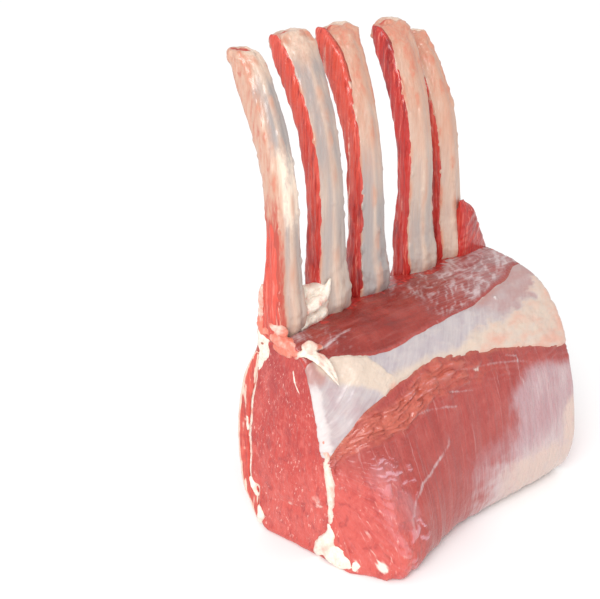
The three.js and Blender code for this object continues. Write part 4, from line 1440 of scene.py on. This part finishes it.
# Places in the frame's own metres.
SOFTBOX_AT, SOFTBOX_AIM, SOFTBOX_SIZE = (-0.62, -0.42, 0.62), Vector((0, 0, 0.06)), 0.3
CAMERA_AT, CAMERA_AIM = Vector((-0.30334, -0.21421, 0.23090)), Vector((-0.02757, 0.02976, 0.07461))
SENSOR, NEAREST = 36, 0.01  # the camera's sensor in mm, and the nearest it sees in metres


class RACK_OT_stage(bpy.types.Operator):
    """A plain pale floor, soft studio light and the camera"""

    bl_idname = "rack.stage"
    bl_label = "Stage"

    def execute(self, context):
        stage = context.scene.rack_stage
        material, tree, _ = begin("pale_floor_matte", {})
        shader = node(tree, "BsdfPrincipled", {"Base Color": rgba(tuple(stage.floor)), "Roughness": 0.9})[0]
        node(tree, "OutputMaterial", {"Surface": shader})
        corners = [(-1, -1), (1, -1), (1, 1), (-1, 1)]
        points = [(x * FLOOR_HALF, y * FLOOR_HALF, FLOOR_LEVEL) for x, y in corners]
        floor = piece("floor", points, [(0, 1, 2, 3)], material, smooth=False)
        world = bpy.data.worlds.new("white_room")
        world.use_nodes = True
        world.node_tree.nodes.clear()
        light = node(world.node_tree, "Background", {"Color": (1, 1, 1, 1), "Strength": stage.room})[0]
        node(world.node_tree, "OutputWorld", {"Surface": light})
        context.scene.world = world
        lamp = bpy.data.lights.new("key", "SUN")
        lamp.energy, lamp.angle = stage.key, stage.spread
        key = bpy.data.objects.new("key", lamp)
        key.rotation_euler = KEY_WAY.to_track_quat("-Z", "Y").to_euler()
        context.scene.collection.objects.link(key)
        lamp = bpy.data.lights.new("softbox", "AREA")
        lamp.energy, lamp.size = stage.softbox, SOFTBOX_SIZE
        softbox = bpy.data.objects.new("softbox", lamp)
        softbox.location = SOFTBOX_AT
        softbox.rotation_euler = (SOFTBOX_AIM - softbox.location).to_track_quat("-Z", "Y").to_euler()
        context.scene.collection.objects.link(softbox)
        lens = bpy.data.cameras.new("camera")
        lens.lens, lens.sensor_width, lens.clip_start = stage.lens, SENSOR, NEAREST
        camera = bpy.data.objects.new("camera", lens)
        camera.location = CAMERA_AT
        camera.rotation_euler = (CAMERA_AIM - CAMERA_AT).to_track_quat("-Z", "Y").to_euler()
        context.scene.collection.objects.link(camera)
        context.scene.camera = camera
        context.scene.view_settings.view_transform = "Standard"
        return {"FINISHED"}


class RACK_PT_sidebar(bpy.types.Panel):
    """The rack's sizes and colours, and a button for each group of pieces"""

    bl_idname = "RACK_PT_sidebar"
    bl_label = "Rack of lamb"
    bl_space_type = "VIEW_3D"
    bl_region_type = "UI"
    bl_category = "Rack"

    def draw(self, context):
        for name, group in GROUPS.items():
            box = self.layout.box()
            for prop in group.__annotations__:
                box.prop(getattr(context.scene, name), prop)
        for operator in OPERATORS:
            self.layout.operator(operator.bl_idname)


OPERATORS = (RACK_OT_loin, RACK_OT_silverskin, RACK_OT_fat_seam, RACK_OT_rib_wall, RACK_OT_fat, RACK_OT_ribs,
    RACK_OT_rib_flesh, RACK_OT_end_flap, RACK_OT_trimmings, RACK_OT_stage)


def register():
    for cls in (*GROUPS.values(), *OPERATORS, RACK_PT_sidebar):
        bpy.utils.register_class(cls)
    for name, group in GROUPS.items():
        setattr(bpy.types.Scene, name, bpy.props.PointerProperty(type=group))


def unregister():
    for name in GROUPS:
        delattr(bpy.types.Scene, name)
    for cls in (RACK_PT_sidebar, *reversed(OPERATORS), *GROUPS.values()):
        bpy.utils.unregister_class(cls)


def main():
    register()
    for operator in OPERATORS:
        group, call = operator.bl_idname.split(".")
        getattr(getattr(bpy.ops, group), call)()


if __name__ == "__main__":
    main()
